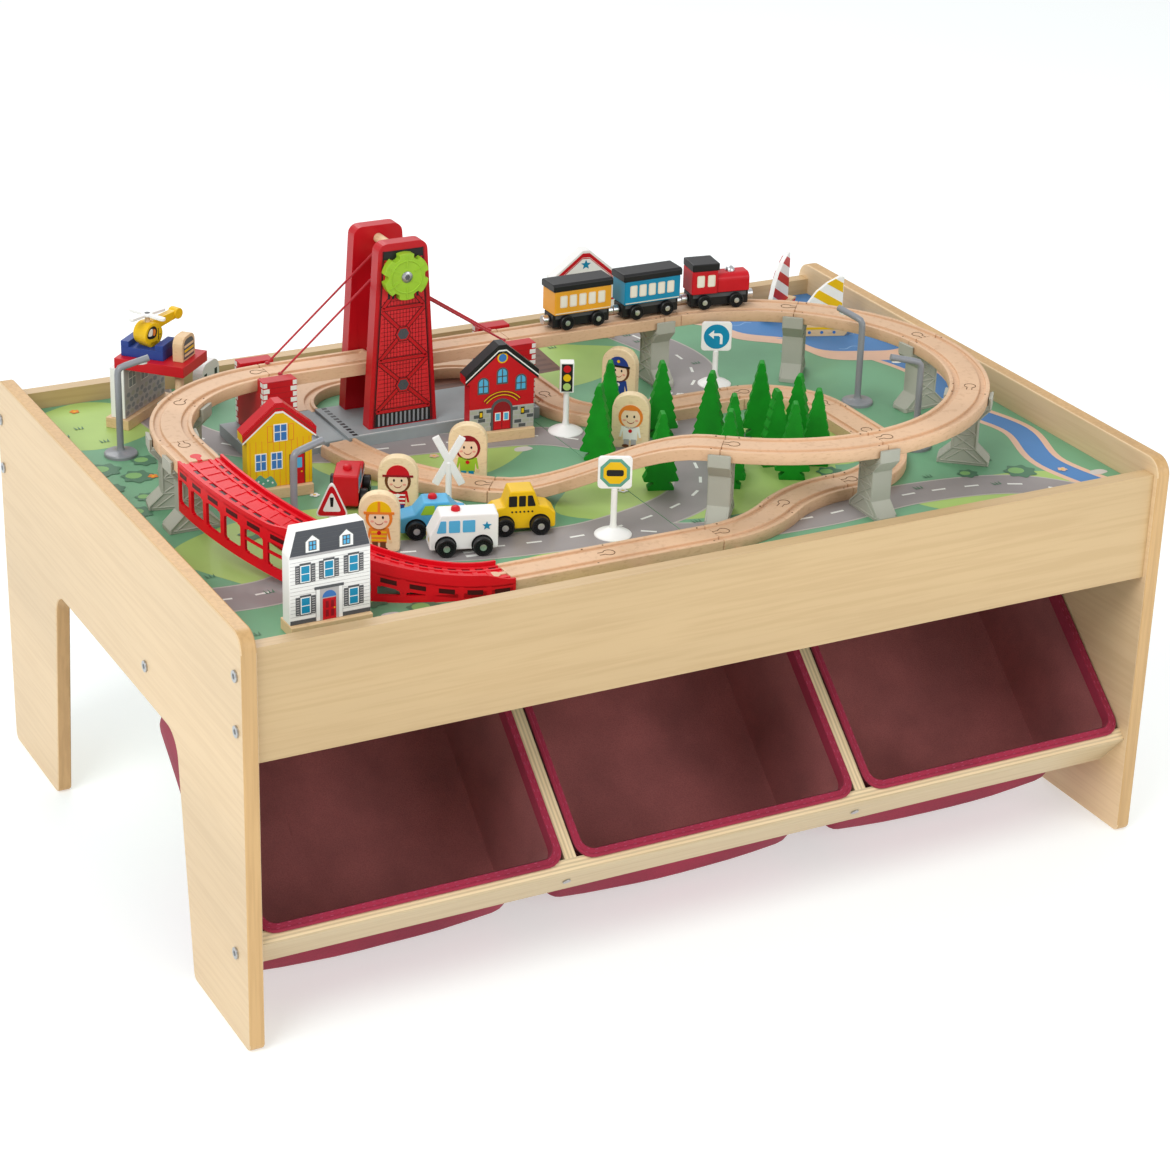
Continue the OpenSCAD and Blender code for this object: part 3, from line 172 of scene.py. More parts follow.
def beech(name, code):
    """Beech as toy track shows it: fine flecks and a soft change of tone from place to place."""
    skin = Skin(name, 0.5)
    tones = skin.tones(skin.noise(9.0, detail=3.0), (0.35, shade(code, 0.9)), (0.65, shade(code, 1.08)))
    fleck = skin.noise(60.0, (3, 3, 8))
    flecks = skin.tones(fleck, (0.3, [0.8, 0.74, 0.68, 1]), (0.46, WHITE))
    return skin.done(skin.times(tones, flecks, 0.6), fleck, 0.12, 0.0004)


def paint(name, code, rough=0.4, coat=0.08, vary=0.06, scale=40.0, bump=0.05):
    """Paint, print or plastic with a faint change of tone and an uneven skin."""
    skin = Skin(name, rough, Coat_Weight=coat, Specular_IOR_Level=0.3, Coat_Roughness=0.15)
    tones = skin.tones(skin.noise(scale), (0.3, shade(code, 1 - vary)), (0.7, shade(code, 1 + vary)))
    return skin.done(tones, skin.noise(scale * 12, detail=2.0), bump, 0.0003)


def metal(name, code, rough):
    """Brushed steel."""
    skin = Skin(name, rough, Metallic=1.0)
    brushed = skin.noise(400.0, (1, 12, 1), 2.0)
    tones = skin.tones(brushed, (0.35, shade(code, 0.88)), (0.65, shade(code, 1.05)))
    return skin.done(tones, brushed, 0.06, 0.0002)


def cloth(name, code, scale, contrast, sheen):
    """Woven cloth: a fine uneven weave with soft blotches and sheen."""
    skin = Skin(name, 0.85, Sheen_Weight=sheen, Sheen_Roughness=0.5)
    blotch = skin.noise(14.0, detail=5.0)
    tones = skin.tones(blotch, (0.3, shade(code, 1 - contrast)), (0.7, shade(code, 1 + contrast)))
    weave = skin.noise(scale, detail=1.5)
    threads = skin.tones(weave, (0.35, [0.72, 0.72, 0.72, 1]), (0.6, WHITE))
    return skin.done(skin.times(tones, threads, 0.6), weave, 0.35, 0.0005)


def plywood(name, code, across, turn, stretch):
    """Plywood whose layers show as stripes across one axis."""
    skin = Skin(name, 0.5)
    place = skin.place(Rotation=(turn, 0, 0))
    wave = skin.node("TexWave", [(place, "Vector")], Scale=80.0, Distortion=0.4)
    wave.bands_direction = across
    layers = skin.tones(wave.outputs["Fac"], (0.3, shade(code, 0.8)), (0.55, shade(code, 1.06)))
    fibre = skin.noise(3.0, stretch, 3.0)
    fibres = skin.tones(fibre, (0.36, [0.9, 0.87, 0.82, 1]), (0.6, WHITE))
    return skin.done(skin.times(layers, fibres, 0.8), fibre, 0.12, 0.0005)


MATERIAL = {
    "panel": wood("panel_wood", "#E1C49A", 1, 0.06),
    "panel_edge": wood("panel_edge_wood", "#D2AA73", 2),
    "apron": wood("apron_wood", "#CEB082", 0, 0.07),
    "cleat": wood("cleat_wood", "#D9BC8A", 0),
    "rail": plywood("rail_plywood", "#E6CFA6", "Y", -TILT, (3, 80, 80)),
    "divider": plywood("divider_plywood", "#E6CFA6", "X", 0.0, (80, 8, 8)),
    "track": beech("track_beech", "#DBB591"),
    "dowel": beech("dowel_wood", "#E6C89C"),
    "block": beech("block_wood", "#E2C195"),
    "figure": beech("figure_wood", "#EFD8AE"),
    "steel": metal("bolt_steel", "#B9BBBE", 0.3),
    "bright": metal("bright_steel", "#DCDEE0", 0.35),
    "bin": cloth("bin_cloth", "#98163A", 900.0, 0.16, 0.1),
    "bin_inside": cloth("bin_lining", "#A8605F", 900.0, 0.2, 0.15),
    "piping": cloth("bin_piping", "#9C1B3C", 1400.0, 0.16, 0.1),
    "cord": cloth("cord_red", "#BE2230", 1600.0, 0.16, 0.35),
}
# Paints: key, name and colour, and where they differ roughness, coat, change of tone, its scale and bump
for key, name, code, *look in (
        ("thread", "thread", "#AE4560", 0.7, 0.0), ("red", "toy_red", "#C8101F"),
        ("dark_red", "toy_dark_red", "#8E1420"), ("ramp_red", "ramp_plastic", "#DC0A1D"),
        ("tower_red", "tower_red", "#BF0D1C"), ("white", "toy_white", "#F3F3F0", 0.4, 0.08, 0.02),
        ("black", "toy_black", "#1B1B1D", 0.4, 0.08, 0.15),
        ("grey", "pier_grey", "#AEAFA2", 0.6, 0.0, 0.05, 25.0, 0.1), ("dark_grey", "dark_grey", "#55575A"),
        ("base_grey", "base_grey", "#97A0A2", 0.5, 0.1), ("lamp", "lamp_grey", "#8C8F94", 0.35, 0.3),
        ("lime", "knob_lime", "#9CC832"), ("yellow", "toy_yellow", "#EBBE10"),
        ("coach_yellow", "coach_yellow", "#EBA62B"), ("blue", "toy_blue", "#0F8AB2"),
        ("navy", "toy_navy", "#23408C"), ("sky", "toy_sky", "#58B2DE"), ("window", "window_blue", "#3D78BE"),
        ("tree", "tree_green", "#0A8A1A", 0.6, 0.0, 0.14, 60.0), ("teal", "bush_teal", "#5FA08A"),
        ("skin", "figure_skin", "#EBCB9C", 0.5, 0.1), ("brown", "hair_brown", "#6B3F22"),
        ("orange", "toy_orange", "#E7812D"), ("roof_grey", "roof_grey", "#4A4C52"),
        ("stone", "stone_grey", "#B7B4B4"), ("tower_print", "tower_print", "#D4262F"),
        ("dark_print_and_shade", "dark_print_and_shade", "#45070D"), ("grid_red", "grid_red", "#93121D"),
        ("blush", "figure_face", "#F3D5B4", 0.5, 0.1, 0.02), ("seam", "dark_seam", "#6B4E36", 0.8, 0.0),
        ("cheek", "figure_cheek", "#E8A08C", 0.5, 0.1, 0.02),
        ("cream", "window_cream", "#EADFC8", 0.4, 0.2, 0.03),
        ("pane", "window_pane", "#F4EEDF", 0.3, 0.3, 0.02)):
    MATERIAL[key] = paint(name, code, *look)
# Prints on the board: name, colour, change of tone and its scale
for name, code, vary, scale in (
        ("green", "#6FA57F", 0.05, 18.0), ("lime", "#A9C76F", 0.05, 18.0), ("road", "#96908F", 0.04, 30.0),
        ("water", "#4B82BC", 0.06, 14.0), ("sand", "#E0B9A0", 0.04, 30.0), ("soil", "#6E4A3A", 0.1, 40.0),
        ("white", "#E9EAE4", 0.02, 40.0), ("dark", "#4E7A5E", 0.05, 40.0), ("leaf", "#7FB06A", 0.05, 40.0),
        ("edge", "#B9B3AC", 0.03, 30.0), ("foam", "#7FA9D4", 0.03, 30.0), ("furrow", "#5A3A2D", 0.08, 60.0),
        ("stone", "#CFC9C4", 0.05, 60.0)):
    MATERIAL["print_" + name] = paint("print_" + name, code, 0.5, 0.1, vary, scale)


# Outlines
def polar(r, turn, cx=0.0, cy=0.0):
    """A point at a distance and an angle in degrees from a centre."""
    a = math.radians(turn)
    return cx + r * math.cos(a), cy + r * math.sin(a)


def arc(cx, cy, r, start, end, steps=8):
    return [polar(r, start + (end - start) * k / steps, cx, cy) for k in range(steps + 1)]


def oval(cx, cy, rx, ry, steps=20):
    return [(cx + rx * c, cy + ry * s) for c, s in (polar(1, 360 * k / steps) for k in range(steps))]


def rectangle(x0, y0, x1, y1):
    return [(x0, y0), (x1, y0), (x1, y1), (x0, y1)]


def round_rectangle(x0, y0, x1, y1, r, steps=6):
    return (arc(x1 - r, y0 + r, r, -90, 0, steps) + arc(x1 - r, y1 - r, r, 0, 90, steps)
            + arc(x0 + r, y1 - r, r, 90, 180, steps) + arc(x0 + r, y0 + r, r, 180, 270, steps))


def arched(x, z, w, h):
    return [(x - w / 2, z), (x + w / 2, z)] + arc(x, z + h - w / 2, w / 2, 0, 180, 8)


def round_top(w, h, r):
    half, low = w / 2, h - r
    return [(-half, 0), (half, 0)] + arc(half - r, low, r, 0, 90, 5) + arc(r - half, low, r, 90, 180, 5)


def star(x, z, r, inner=0.45):
    return [polar(r * (1, inner)[k % 2], 90 + 36 * k, x, z) for k in range(10)]


def peg(root, neck, reach, centre, r, steps):
    """The outline of a track's peg, which starts at a joint."""
    return ([(0, root), (reach, neck)] + arc(centre, 0, r, 155, -155, steps) + [(reach, -neck), (0, -root)])


def turned(points, turn, x=0.0, y=0.0):
    """An outline turned by degrees and moved."""
    c, s = polar(1, turn)
    return [(x + a * c - b * s, y + a * s + b * c) for a, b in points]


def mirrored(right):
    """An outline from its right half, which is listed from the bottom up."""
    return right + [(-x, z) for x, z in reversed(right)]


def raised(points, rise):
    return [(x, z + rise) for x, z in points]


def anticlockwise(points):
    area = sum(a[0] * b[1] - b[0] * a[1] for a, b in zip(points, points[1:] + points[:1]))
    return points if area > 0 else points[::-1]


def curve(points, steps=8, closed=True):
    """A smooth line through points."""
    points = list(points)
    around = points[-1:] + points + points[:2] if closed else points[:1] + points + points[-1:]
    line = []
    for i in range(len(around) - 3):
        p0, p1, p2, p3 = (Vector(p) for p in around[i:i + 4])
        for t in (s / steps for s in range(steps)):
            line.append(0.5 * (2 * p1 + (p2 - p0) * t + (2 * p0 - 5 * p1 + 4 * p2 - p3) * t * t
                               + (3 * p1 - p0 - 3 * p2 + p3) * t ** 3))
    return line if closed else line + [Vector(points[-1])]


def corners_of(points):
    """Each corner of a polygon, with the directions to its two neighbours."""
    for i, corner in enumerate(points):
        p = Vector(corner)
        before, after = Vector(points[i - 1]), Vector(points[(i + 1) % len(points)])
        yield p, (before - p).normalized(), (after - p).normalized()


def rounded(points, radii, steps=8):
    """A polygon with a round of its own radius at each corner."""
    line = []
    for (p, u, v), r in zip(corners_of(points), radii):
        half = u.angle(v) / 2
        centre = p + (u + v).normalized() * r / math.sin(half)
        start, end = (p + way * r / math.tan(half) - centre for way in (u, v))
        line += [tuple(centre + start.lerp(end, k / steps).normalized() * r) for k in range(steps + 1)]
    return line


def soft_corners(points, r, steps=6):
    """A polygon with a soft curve at each corner."""
    line = []
    for p, u, v in corners_of(points):
        reach = r / math.tan(u.angle(v) / 2)
        for t in (k / steps for k in range(steps + 1)):
            line.append(tuple((1 - t) ** 2 * (p + u * reach) + 2 * t * (1 - t) * p + t * t * (p + v * reach)))
    return line


def ease(t):
    return t * t * (3 - 2 * t)


def limited(t):
    return min(1.0, max(0.0, t))


# Mesh building, in millimetres
def loft(rows, n, closed=False):
    """The faces between rings of n points."""
    return [[i * n + k, i * n + (k + 1) % n, (i + 1) % rows * n + (k + 1) % n, (i + 1) % rows * n + k]
            for i in range(rows if closed else rows - 1) for k in range(n)]


def end_caps(rows, n):
    return [list(range(n - 1, -1, -1)), list(range((rows - 1) * n, rows * n))]


class Build:
    """Collects faces with their materials, and makes them one object."""

    def __init__(self, place=None, face=0.0):
        self.place = place or Matrix.Identity(4)
        self.face = face
        self.verts = []
        self.faces = []
        self.names = []
        self.index = []
        self.smooth = []

    def add(self, verts, faces, material, smooth=False):
        start = len(self.verts)
        self.verts += [self.place @ Vector(v) for v in verts]
        if material not in self.names:
            self.names.append(material)
        for face in faces:
            self.faces.append([start + k for k in face])
            self.index.append(self.names.index(material))
            self.smooth.append(smooth)

    def slab(self, outline, low, high, material, standing=True):
        """An outline given a thickness: standing in X and Z along Y, or lying in X and Y along Z."""
        points = anticlockwise(outline)
        n = len(points)
        if standing:
            verts = [(x, y, z) for y in (low, high) for x, z in points]
        else:
            verts = [(x, y, z) for z in (high, low) for x, y in points]
        faces = [list(range(n)), list(range(2 * n - 1, n - 1, -1))]
        faces += [[(i + 1) % n, i, i + n, (i + 1) % n + n] for i in range(n)]
        self.add(verts, faces, material)

    def box(self, low, high, material):
        (x0, y0, z0), (x1, y1, z1) = low, high
        self.slab(rectangle(x0, z0, x1, z1), y0, y1, material)

    def sweep(self, path, radius, material, sides=8, closed=False):
        """A tube along a path, with an end cap on each open end."""
        points = [Vector(p) for p in path]
        n = len(points)
        verts = []
        side = None
        for i, p in enumerate(points):
            ahead = points[(i + 1) % n] if closed or i < n - 1 else p
            behind = points[i - 1] if closed or i > 0 else p
            way = (ahead - behind).normalized()
            if side is None:
                side = way.cross(Vector((0, 0, 1)))
            if side.length < 1e-3:
                side = way.cross(Vector((1, 0, 0)))
            side = (side - way * side.dot(way)).normalized()
            top = side.cross(way)
            verts += [p + radius * (c * side + s * top) for c, s in oval(0, 0, 1, 1, sides)]
        self.add(verts, loft(n, sides, closed) + ([] if closed else end_caps(n, sides)), material, True)

    def lathe(self, profile, material, centre=(0, 0, 0), axis="Z", sides=24):
        """A profile of radius and height turned round an axis through a point."""
        order = {"Z": (0, 1, 2), "Y": (0, 2, 1), "X": (2, 0, 1)}[axis]
        spots = [(x, y, h) for r, h in profile for x, y in oval(0, 0, r, r, sides)]
        verts = [[c + spot[k] for c, k in zip(centre, order)] for spot in spots]
        rows = len(profile)
        self.add(verts, loft(rows, sides) + end_caps(rows, sides), material, True)

    def beam(self, profile, x0, x1, material, edge=None):
        """A profile in Y and Z drawn along X, with a material of its own for the edge."""
        n = len(profile)
        verts = [(x, y, z) for x in (x0, x1) for y, z in profile]
        self.add(verts, [list(range(n)), list(range(2 * n - 1, n - 1, -1))], material)
        sides = [[i - 2 * n, (i + 1) % n - 2 * n, (i + 1) % n - n, i - n] for i in range(n)]
        self.add([], sides, edge or material)

    def put(self, outline, y, key, level=1):
        """A printed patch on an upright face, raised by a hair more for each level."""
        out = 0.1 + 0.12 * level
        low, high = (y - out, y + 0.05) if y < 0 else (y - 0.05, y + out)
        self.slab(outline, low, high, key)

    def mark(self, outline, key, level=1):
        """The same patch on both upright faces."""
        for y in (-self.face, self.face):
            self.put(outline, y, key, level)

    def bar(self, x0, z0, x1, z1, key, level=1):
        self.mark(rectangle(x0, z0, x1, z1), key, level)

    def post(self, x, half, z0, z1, key, level=1):
        self.bar(x - half, z0, x + half, z1, key, level)

    def dot(self, x, z, r, key, level=1, steps=10):
        self.mark(oval(x, z, r, r, steps), key, level)

    def window(self, x, z, w, h, edge="white", glass="window", level=1, bars=True):
        half = w / 2
        self.post(x, half, z, z + h, edge, level)
        self.post(x, half - 0.9, z + 0.9, z + h - 0.9, glass, level + 1)
        if bars:
            self.post(x, 0.4, z + 0.8, z + h - 0.8, edge, level + 2)
            self.post(x, half - 0.8, z + h * 0.52, z + h * 0.52 + 0.8, edge, level + 2)

    def make(self, name, bevel=0.0, flat=False):
        mesh = bpy.data.meshes.new(name)
        mesh.from_pydata([v * MM for v in self.verts], [], self.faces)
        for key in self.names:
            mesh.materials.append(MATERIAL[key])
        for polygon, k, smooth in zip(mesh.polygons, self.index, self.smooth):
            polygon.material_index = k
            polygon.use_smooth = smooth
        if not flat:
            work = bmesh.new()
            work.from_mesh(mesh)
            bmesh.ops.recalc_face_normals(work, faces=work.faces)
            work.to_mesh(mesh)
            work.free()
        piece = bpy.data.objects.new(name, mesh)
        bpy.context.scene.collection.objects.link(piece)
        if bevel:
            round_edges(piece, bevel)
        else:
            mesh.set_sharp_from_angle(angle=math.radians(35))
        return piece

    def done(self, name, body, bevel=0.0, replaces=(), slot=None, flat=False):
        piece = self.make(name, bevel, flat)
        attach(piece, body)
        if replaces:
            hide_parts(*replaces)


class Toy:
    """A toy in two pieces: its rounded solid, and the print and trim on it."""

    def __init__(self, place=None, face=0.0):
        self.solid = Build(place)
        self.trim = Build(place, face)

    def stand(self, *spot):
        self.solid.place = self.trim.place = on_board(*spot)

    def done(self, node, slot, body="table", bevel=0.8):
        self.solid.done(node + "_solid", body, bevel, (node,), slot)
        if self.trim.faces:
            self.trim.done(node + "_trim", body, slot=slot)


def round_edges(piece, width, segments=2, weld=False):
    if weld:
        joined = piece.modifiers.new("join", "WELD")
        joined.merge_threshold = 0.00002
    bevel = piece.modifiers.new("round", "BEVEL")
    bevel.width = width * MM
    bevel.segments = segments
    bevel.limit_method = "ANGLE"
    bevel.angle_limit = math.radians(40)
    bevel.harden_normals = True


def dress(node, key, bevel, segments=2):
    """A node that keeps its shape gets its material, and softer edges."""
    piece = NODES[node]
    piece.data.materials.clear()
    piece.data.materials.append(MATERIAL[key])
    round_edges(piece, bevel, segments, weld=True)


def on_board(sx, sy, yaw=0.0):
    """A place on the board, given in shares of the plan."""
    return Matrix.Translation((sx * PLAN, sy * PLAN, BOARD_Z)) @ Matrix.Rotation(math.radians(yaw), 4, "Z")


# Table frame
def end_panel(node, x0):
    """A panel cut to two legs, with darker edges."""
    panel = Build()
    corners = [(-337.5, 0), (-197.5, 0), (-169.5, 242), (169.5, 242), (197.5, 0), (337.5, 0), (337.5, 414),
               (-337.5, 414)]
    panel.beam(rounded(corners, [8, 8, 26, 26, 8, 8, 18, 18]), x0, x0 + 15, "panel", "panel_edge")
    piece = panel.make(node + "_wood")
    round_edges(piece, 2.0, 3)
    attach(piece, "table")
    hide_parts(node)


def bolt_socket_shade():
    """A thin dark hexagon on each bolt's head: painted shade that stands for its six-sided recess."""
    sockets = Build()
    spots = [(side * 324.0, z) for side in (-1, 1) for z in (318.8, 371.6)]
    spots += turned([(6.5, -26), (292.5, -26)], math.degrees(TILT), RACK_Y, RACK_Z)
    for y, z in spots:
        for x in (-489.55, 489.45):
            sockets.beam(oval(y, z, 2.9, 2.9, 6), x, x + 0.1, "dark_grey")
    sockets.done("bolt_socket_shade", "table", slot="steel")


# Fabric bins: heights of the skins' rings, and how far each is drawn in
BIN_LEVELS = ((1.0, 0.0), (-3.0, 0.0), (-14.0, 0.4), (-40.0, 1.2), (-56.0, 1.4), (-72.0, 1.2), (-92.0, 1.0),
              (-112.0, 0.6), (-125.0, 0.5), (-129.6, 1.2), (-131.0, 3.6))


def ring_points(half_w, front, rear, r, steps=9):
    """A rounded rectangle with points along its straight sides too."""
    corners = [(half_w - r, front + r, -90), (half_w - r, rear - r, 0), (-half_w + r, rear - r, 90),
               (-half_w + r, front + r, 180)]
    points = []
    for k, (cx, cy, start) in enumerate(corners):
        points += arc(cx, cy, r, start, start + 90, 5)
        nx, ny, turn = corners[(k + 1) % 4]
        a, b = Vector(points[-1]), Vector(polar(r, turn, nx, ny))
        points += [tuple(a.lerp(b, s / steps)) for s in range(1, steps)]
    return points


def bin_skin(bay, inner):
    """The points and faces of a skin with slack walls and a sagging floor."""
    inset, lift = (2.2, 4.0) if inner else (0.4, 0.0)
    verts = []
    for z, pull in BIN_LEVELS:
        edge = inset + pull
        low = max(0.0, -z / BIN_DEPTH)
        slack = limited(-z / 60.0)
        swell = 6.0 * ease(limited((-z - 114.0) / 14.0))
        ring = ring_points(BIN_HALF_W - edge - 10.0 * low, BIN_FRONT + edge, BIN_REAR - edge,
                           BIN_ROUND + pull * 0.6)
        for x, y in ring:
            wave = noise.noise(Vector((x * 0.016 + bay * 7.0, y * 0.016, z * 0.02)))
            push = 1.0 - 0.006 * slack * (1.0 + wave)
            middle = 1 - (x / BIN_HALF_W) ** 2
            forward = swell * middle * max(0.0, 1 - (y - BIN_FRONT) / 90)
            verts.append((x * push, (y - BIN_MIDDLE) * push + BIN_MIDDLE - forward,
                          z + lift * min(1, low) + 1.2 * wave * slack - BIN_SAG * low * low * middle))
    n = len(ring)
    rim_of_floor = verts[-n:]
    for share in (0.66, 0.33):
        for x, y, z in rim_of_floor:
            wave = noise.noise(Vector((x * share * 0.02 + bay * 5.0, y * share * 0.02, 3.0)))
            deeper = BIN_SAG * (x / BIN_HALF_W) ** 2 * (1 - share ** 2)
            verts.append((x * share, (y - BIN_MIDDLE) * share + BIN_MIDDLE,
                          z - deeper - 1.2 * (1 - share) + 0.9 * wave))
    rows = len(BIN_LEVELS) + 2
    faces = loft(rows, n) + end_caps(rows, n)[1:]
    return verts, [face[::-1] for face in faces] if inner else faces


def fabric_bin(bay, node):
    """A sewn bin: two skins, a bound rim and two rows of stitches."""
    body = node + "_body"
    place = Matrix.Translation((bay * BAY_PITCH, RACK_Y, RACK_Z)) @ Matrix.Rotation(TILT, 4, "X")
    shell = Build(place)
    shell.add(*bin_skin(bay, False), "bin", True)
    shell.add(*bin_skin(bay, True), "bin_inside", True)
    shell.done(node + "_shell", body, replaces=(node,), slot="bin_fabric", flat=True)

    def hem(inset, steps=9):
        r = BIN_ROUND - inset * 0.5
        return ring_points(BIN_HALF_W - inset, HEM_FRONT + inset, HEM_REAR - inset, r, steps)

    rim = Build(place)
    piping = ring_points(BIN_HALF_W - 1.0, HEM_FRONT, HEM_REAR, BIN_ROUND)
    rim.sweep([(x, y, 1.9) for x, y in piping], 2.0, "piping", 8, True)
    band = ((0.6, 2.4), (3.0, 3.4), (6.6, 2.8), (7.4, -9.0))
    verts = [(x, y, z) for inset, z in band for x, y in hem(inset)]
    rim.add(verts, loft(len(band), len(piping)), "piping", True)
    rim.done(node + "_rim", body, slot="bin_fabric", flat=True)
    stitches = Build(place)
    for inset in (1.9, 5.4):
        points = [Vector((x, y, 3.2)) for x, y in hem(inset, 26)]
        gap = 0.0
        for a, b in zip(points, points[1:] + points[:1]):
            gap += (b - a).length
            if gap >= 5.5:
                gap = 0.0
                way = (b - a).normalized()
                stitches.sweep([a - way * 1.5, a + way * 1.5], 0.4, "thread", 5)
    stitches.done(node + "_stitches", body, slot="bin_fabric", flat=True)


# Printed board: own design of water, meadows, roads and a field
def clip(outline, axis, limit, side):
    """The part of an outline on one side of a limit."""
    kept = []
    for p, q in zip(outline, outline[1:] + outline[:1]):
        p_in, q_in = (p[axis] - limit) * side >= 0, (q[axis] - limit) * side >= 0
        if p_in:
            kept.append(p)
        if p_in != q_in:
            t = (limit - p[axis]) / (q[axis] - p[axis])
            kept.append((p[0] + t * (q[0] - p[0]), p[1] + t * (q[1] - p[1])))
    return kept


def lay(sheet, outline, level, key):
    """A printed patch on the board, cut at the board's edges and at its seam."""
    z = BOARD_Z + 0.05 + 0.03 * level
    for low, high in BOARD_LEAVES:
        shape = list(outline)
        for axis, limit, side in ((0, low, 1), (0, high, -1), (1, -BOARD_HALF_D, 1), (1, BOARD_HALF_D, -1)):
            shape = clip(shape, axis, limit, side)
        if len(shape) > 2:
            sheet.add([(x, y, z) for x, y in anticlockwise(shape)], [list(range(len(shape)))], key)


def sideways(line):
    """The direction to the left of a line at each of its points."""
    last = len(line) - 1
    ways = [(line[min(i + 1, last)] - line[max(i - 1, 0)]).normalized() for i in range(last + 1)]
    return [Vector((-way.y, way.x)) for way in ways]


def ribbon(sheet, line, half, level, key):
    """A printed band of one width along a line."""
    left, right = ([p + out * side for p, side in zip(line, sideways(line))] for out in (half, -half))
    for i in range(len(line) - 1):
        lay(sheet, [left[i], right[i], right[i + 1], left[i + 1]], level, key)


def road(sheet, points, width, order):
    """A road with pale edges and white dashes; each road has its own height so that none lies in another."""
    line = curve(points, 10, False)
    ribbon(sheet, line, width / 2 + 2.2, 4 + order, "print_edge")
    ribbon(sheet, line, width / 2, 8 + order, "print_road")
    travelled = 0.0
    for a, ahead, side in zip(line, line[1:], sideways(line)):
        travelled += (ahead - a).length
        if travelled > 34:
            travelled = 0.0
            b = a + (ahead - a).normalized() * 15
            dash = [a + 1.5 * side, a - 1.5 * side, b - 1.5 * side, b + 1.5 * side]
            lay(sheet, dash, 12 + order, "print_white")


def blob(cx, cy, rx, ry, seed):
    """A smooth uneven patch."""
    return curve([(cx + rx * (1 + 0.14 * math.sin(3 * a + seed)) * math.cos(a),
                   cy + ry * (1 + 0.12 * math.cos(2 * a + seed)) * math.sin(a))
                  for a in (2 * math.pi * j / 9 for j in range(9))])


def board_water(sheet):
    """A stream, a bay with an island, and waves."""
    stream = curve(((432, 120), (452, 40), (428, -50), (446, -140), (424, -230), (452, -340)), 10, False)
    ribbon(sheet, stream, 19, 2, "print_sand")
    ribbon(sheet, stream, 12, 3, "print_water")
    bay = [(232, 345), (252, 300), (302, 270), (318, 214), (362, 172), (378, 120), (420, 96), (470, 84),
           (520, 120), (520, 345)]
    lay(sheet, curve(bay), 4, "print_sand")
    inside = [(388 + 0.88 * (x - 380), 250 + 0.86 * (y - 240)) for x, y in bay]
    lay(sheet, curve(inside), 5, "print_water")
    lay(sheet, blob(334, 296, 22, 12, 2), 6, "print_sand")
    lay(sheet, blob(334, 297, 15, 7, 1), 7, "print_lime")
    for k in range(9):
        x, y = 400 + 52 * math.sin(2.4 * k), 292 - 19 * k
        crest = [(x + dx, y + 2.4 * math.sin(dx * 0.28)) for dx in range(-12, 13, 3)]
        lay(sheet, raised(crest, 0.9) + raised(crest[::-1], -0.9), 6, "print_foam")


def board_roads(sheet):
    """Three roads with crossings, and a ploughed field."""
    road(sheet, ((-480, -190), (-400, -196), (-300, -160), (-170, -190), (-60, -196), (60, -150), (110, -40),
                 (150, 60), (210, 120), (230, 200), (200, 330)), 50, 0)
    road(sheet, ((-60, -196), (20, -240), (140, -250), (250, -240), (360, -262), (420, -330)), 44, 1)
    road(sheet, ((-330, 330), (-344, 240), (-320, 160), (-240, 90), (-120, 66), (-10, 40), (60, -30),
                 (110, -40)), 46, 2)
    for x, y, turn in ((-200, -182, -8), (170, 84, 48), (-270, 112, -38)):
        for k in range(5):
            lay(sheet, turned(rectangle(-9, -20 + 9 * k, 9, -15.5 + 9 * k), turn, x, y), 16, "print_white")
    lay(sheet, [(-60, 196), (96, 204), (104, 300), (-54, 306)], 2, "print_soil")
    for row in range(7):
        lay(sheet, rectangle(-52, 208 + 14 * row, 94, 214 + 14 * row), 3, "print_furrow")


def board_plants(sheet):
    """Tree tops, and stones, flowers and grass that are strewn by a formula."""
    tops = ((-448, 20), (-430, 52), (-452, 84), (-420, 104), (-444, 132), (-400, 140), (-350, -40),
            (-372, -72), (-330, -250), (-292, -284), (-370, -284), (330, -220), (364, -190), (382, -236),
            (-180, 240), (-150, 268), (150, -100), (206, -160), (170, -40))
    for k, (x, y) in enumerate(tops):
        r = 13 + 3 * math.sin(5.0 * k)
        ring = [polar(r * (1 + 0.12 * (-1) ** j), 180 * j / 7, x, y) for j in range(14)]
        lay(sheet, curve(ring, 4), 17 + k % 3, "print_dark")
        lay(sheet, oval(x - 0.2 * r, y + 0.2 * r, 0.55 * r, 0.5 * r, 14), 20, "print_leaf")
    for k in range(70):
        x, y = 460 * math.sin(12.9898 * (k + 1) + 0.7), 300 * math.sin(78.233 * (k + 1) + 1.9)
        if x > 250 and y > 60:
            continue
        if k % 5 == 0:
            stone = [(-9, -3), (0, -6), (10, -3), (8, 4), (0, 6), (-7, 4)]
            lay(sheet, curve([(x + a, y + b) for a, b in stone], 4), 3.5, "print_stone")
        elif k % 5 in (1, 2):
            for petal, level in enumerate((22, 23, 22, 23, 24)):
                spot = polar(3.2, 72 * petal + math.degrees(k), x, y)
                lay(sheet, oval(*spot, 2.1, 2.1, 9), level, ("print_white", "orange", "print_sand")[k % 3])
            lay(sheet, oval(x, y, 1.7, 1.7, 9), 25, "yellow")
        else:
            for blade in (-3, 0, 3):
                grass = [(x + blade - 1.2, y), (x + blade + 1.2, y), (x + 1.5 * blade, y + 8)]
                lay(sheet, grass, 21, "print_dark")


def board_print():
    sheet = Build()
    meadows = ((-330, -120, 120, 95), (-150, 40, 110, 70), (60, 230, 120, 70), (70, -120, 150, 85),
               (-420, 250, 70, 60), (250, -60, 70, 90), (-120, -260, 90, 45), (330, -270, 90, 45))
    for k, meadow in enumerate(meadows):
        lay(sheet, blob(*meadow, k), 0 if k in (1, 3, 7) else 1, "print_lime")
    board_water(sheet)
    board_roads(sheet)
    board_plants(sheet)
    sheet.done("board_print", "table", slot="board_print", flat=True)


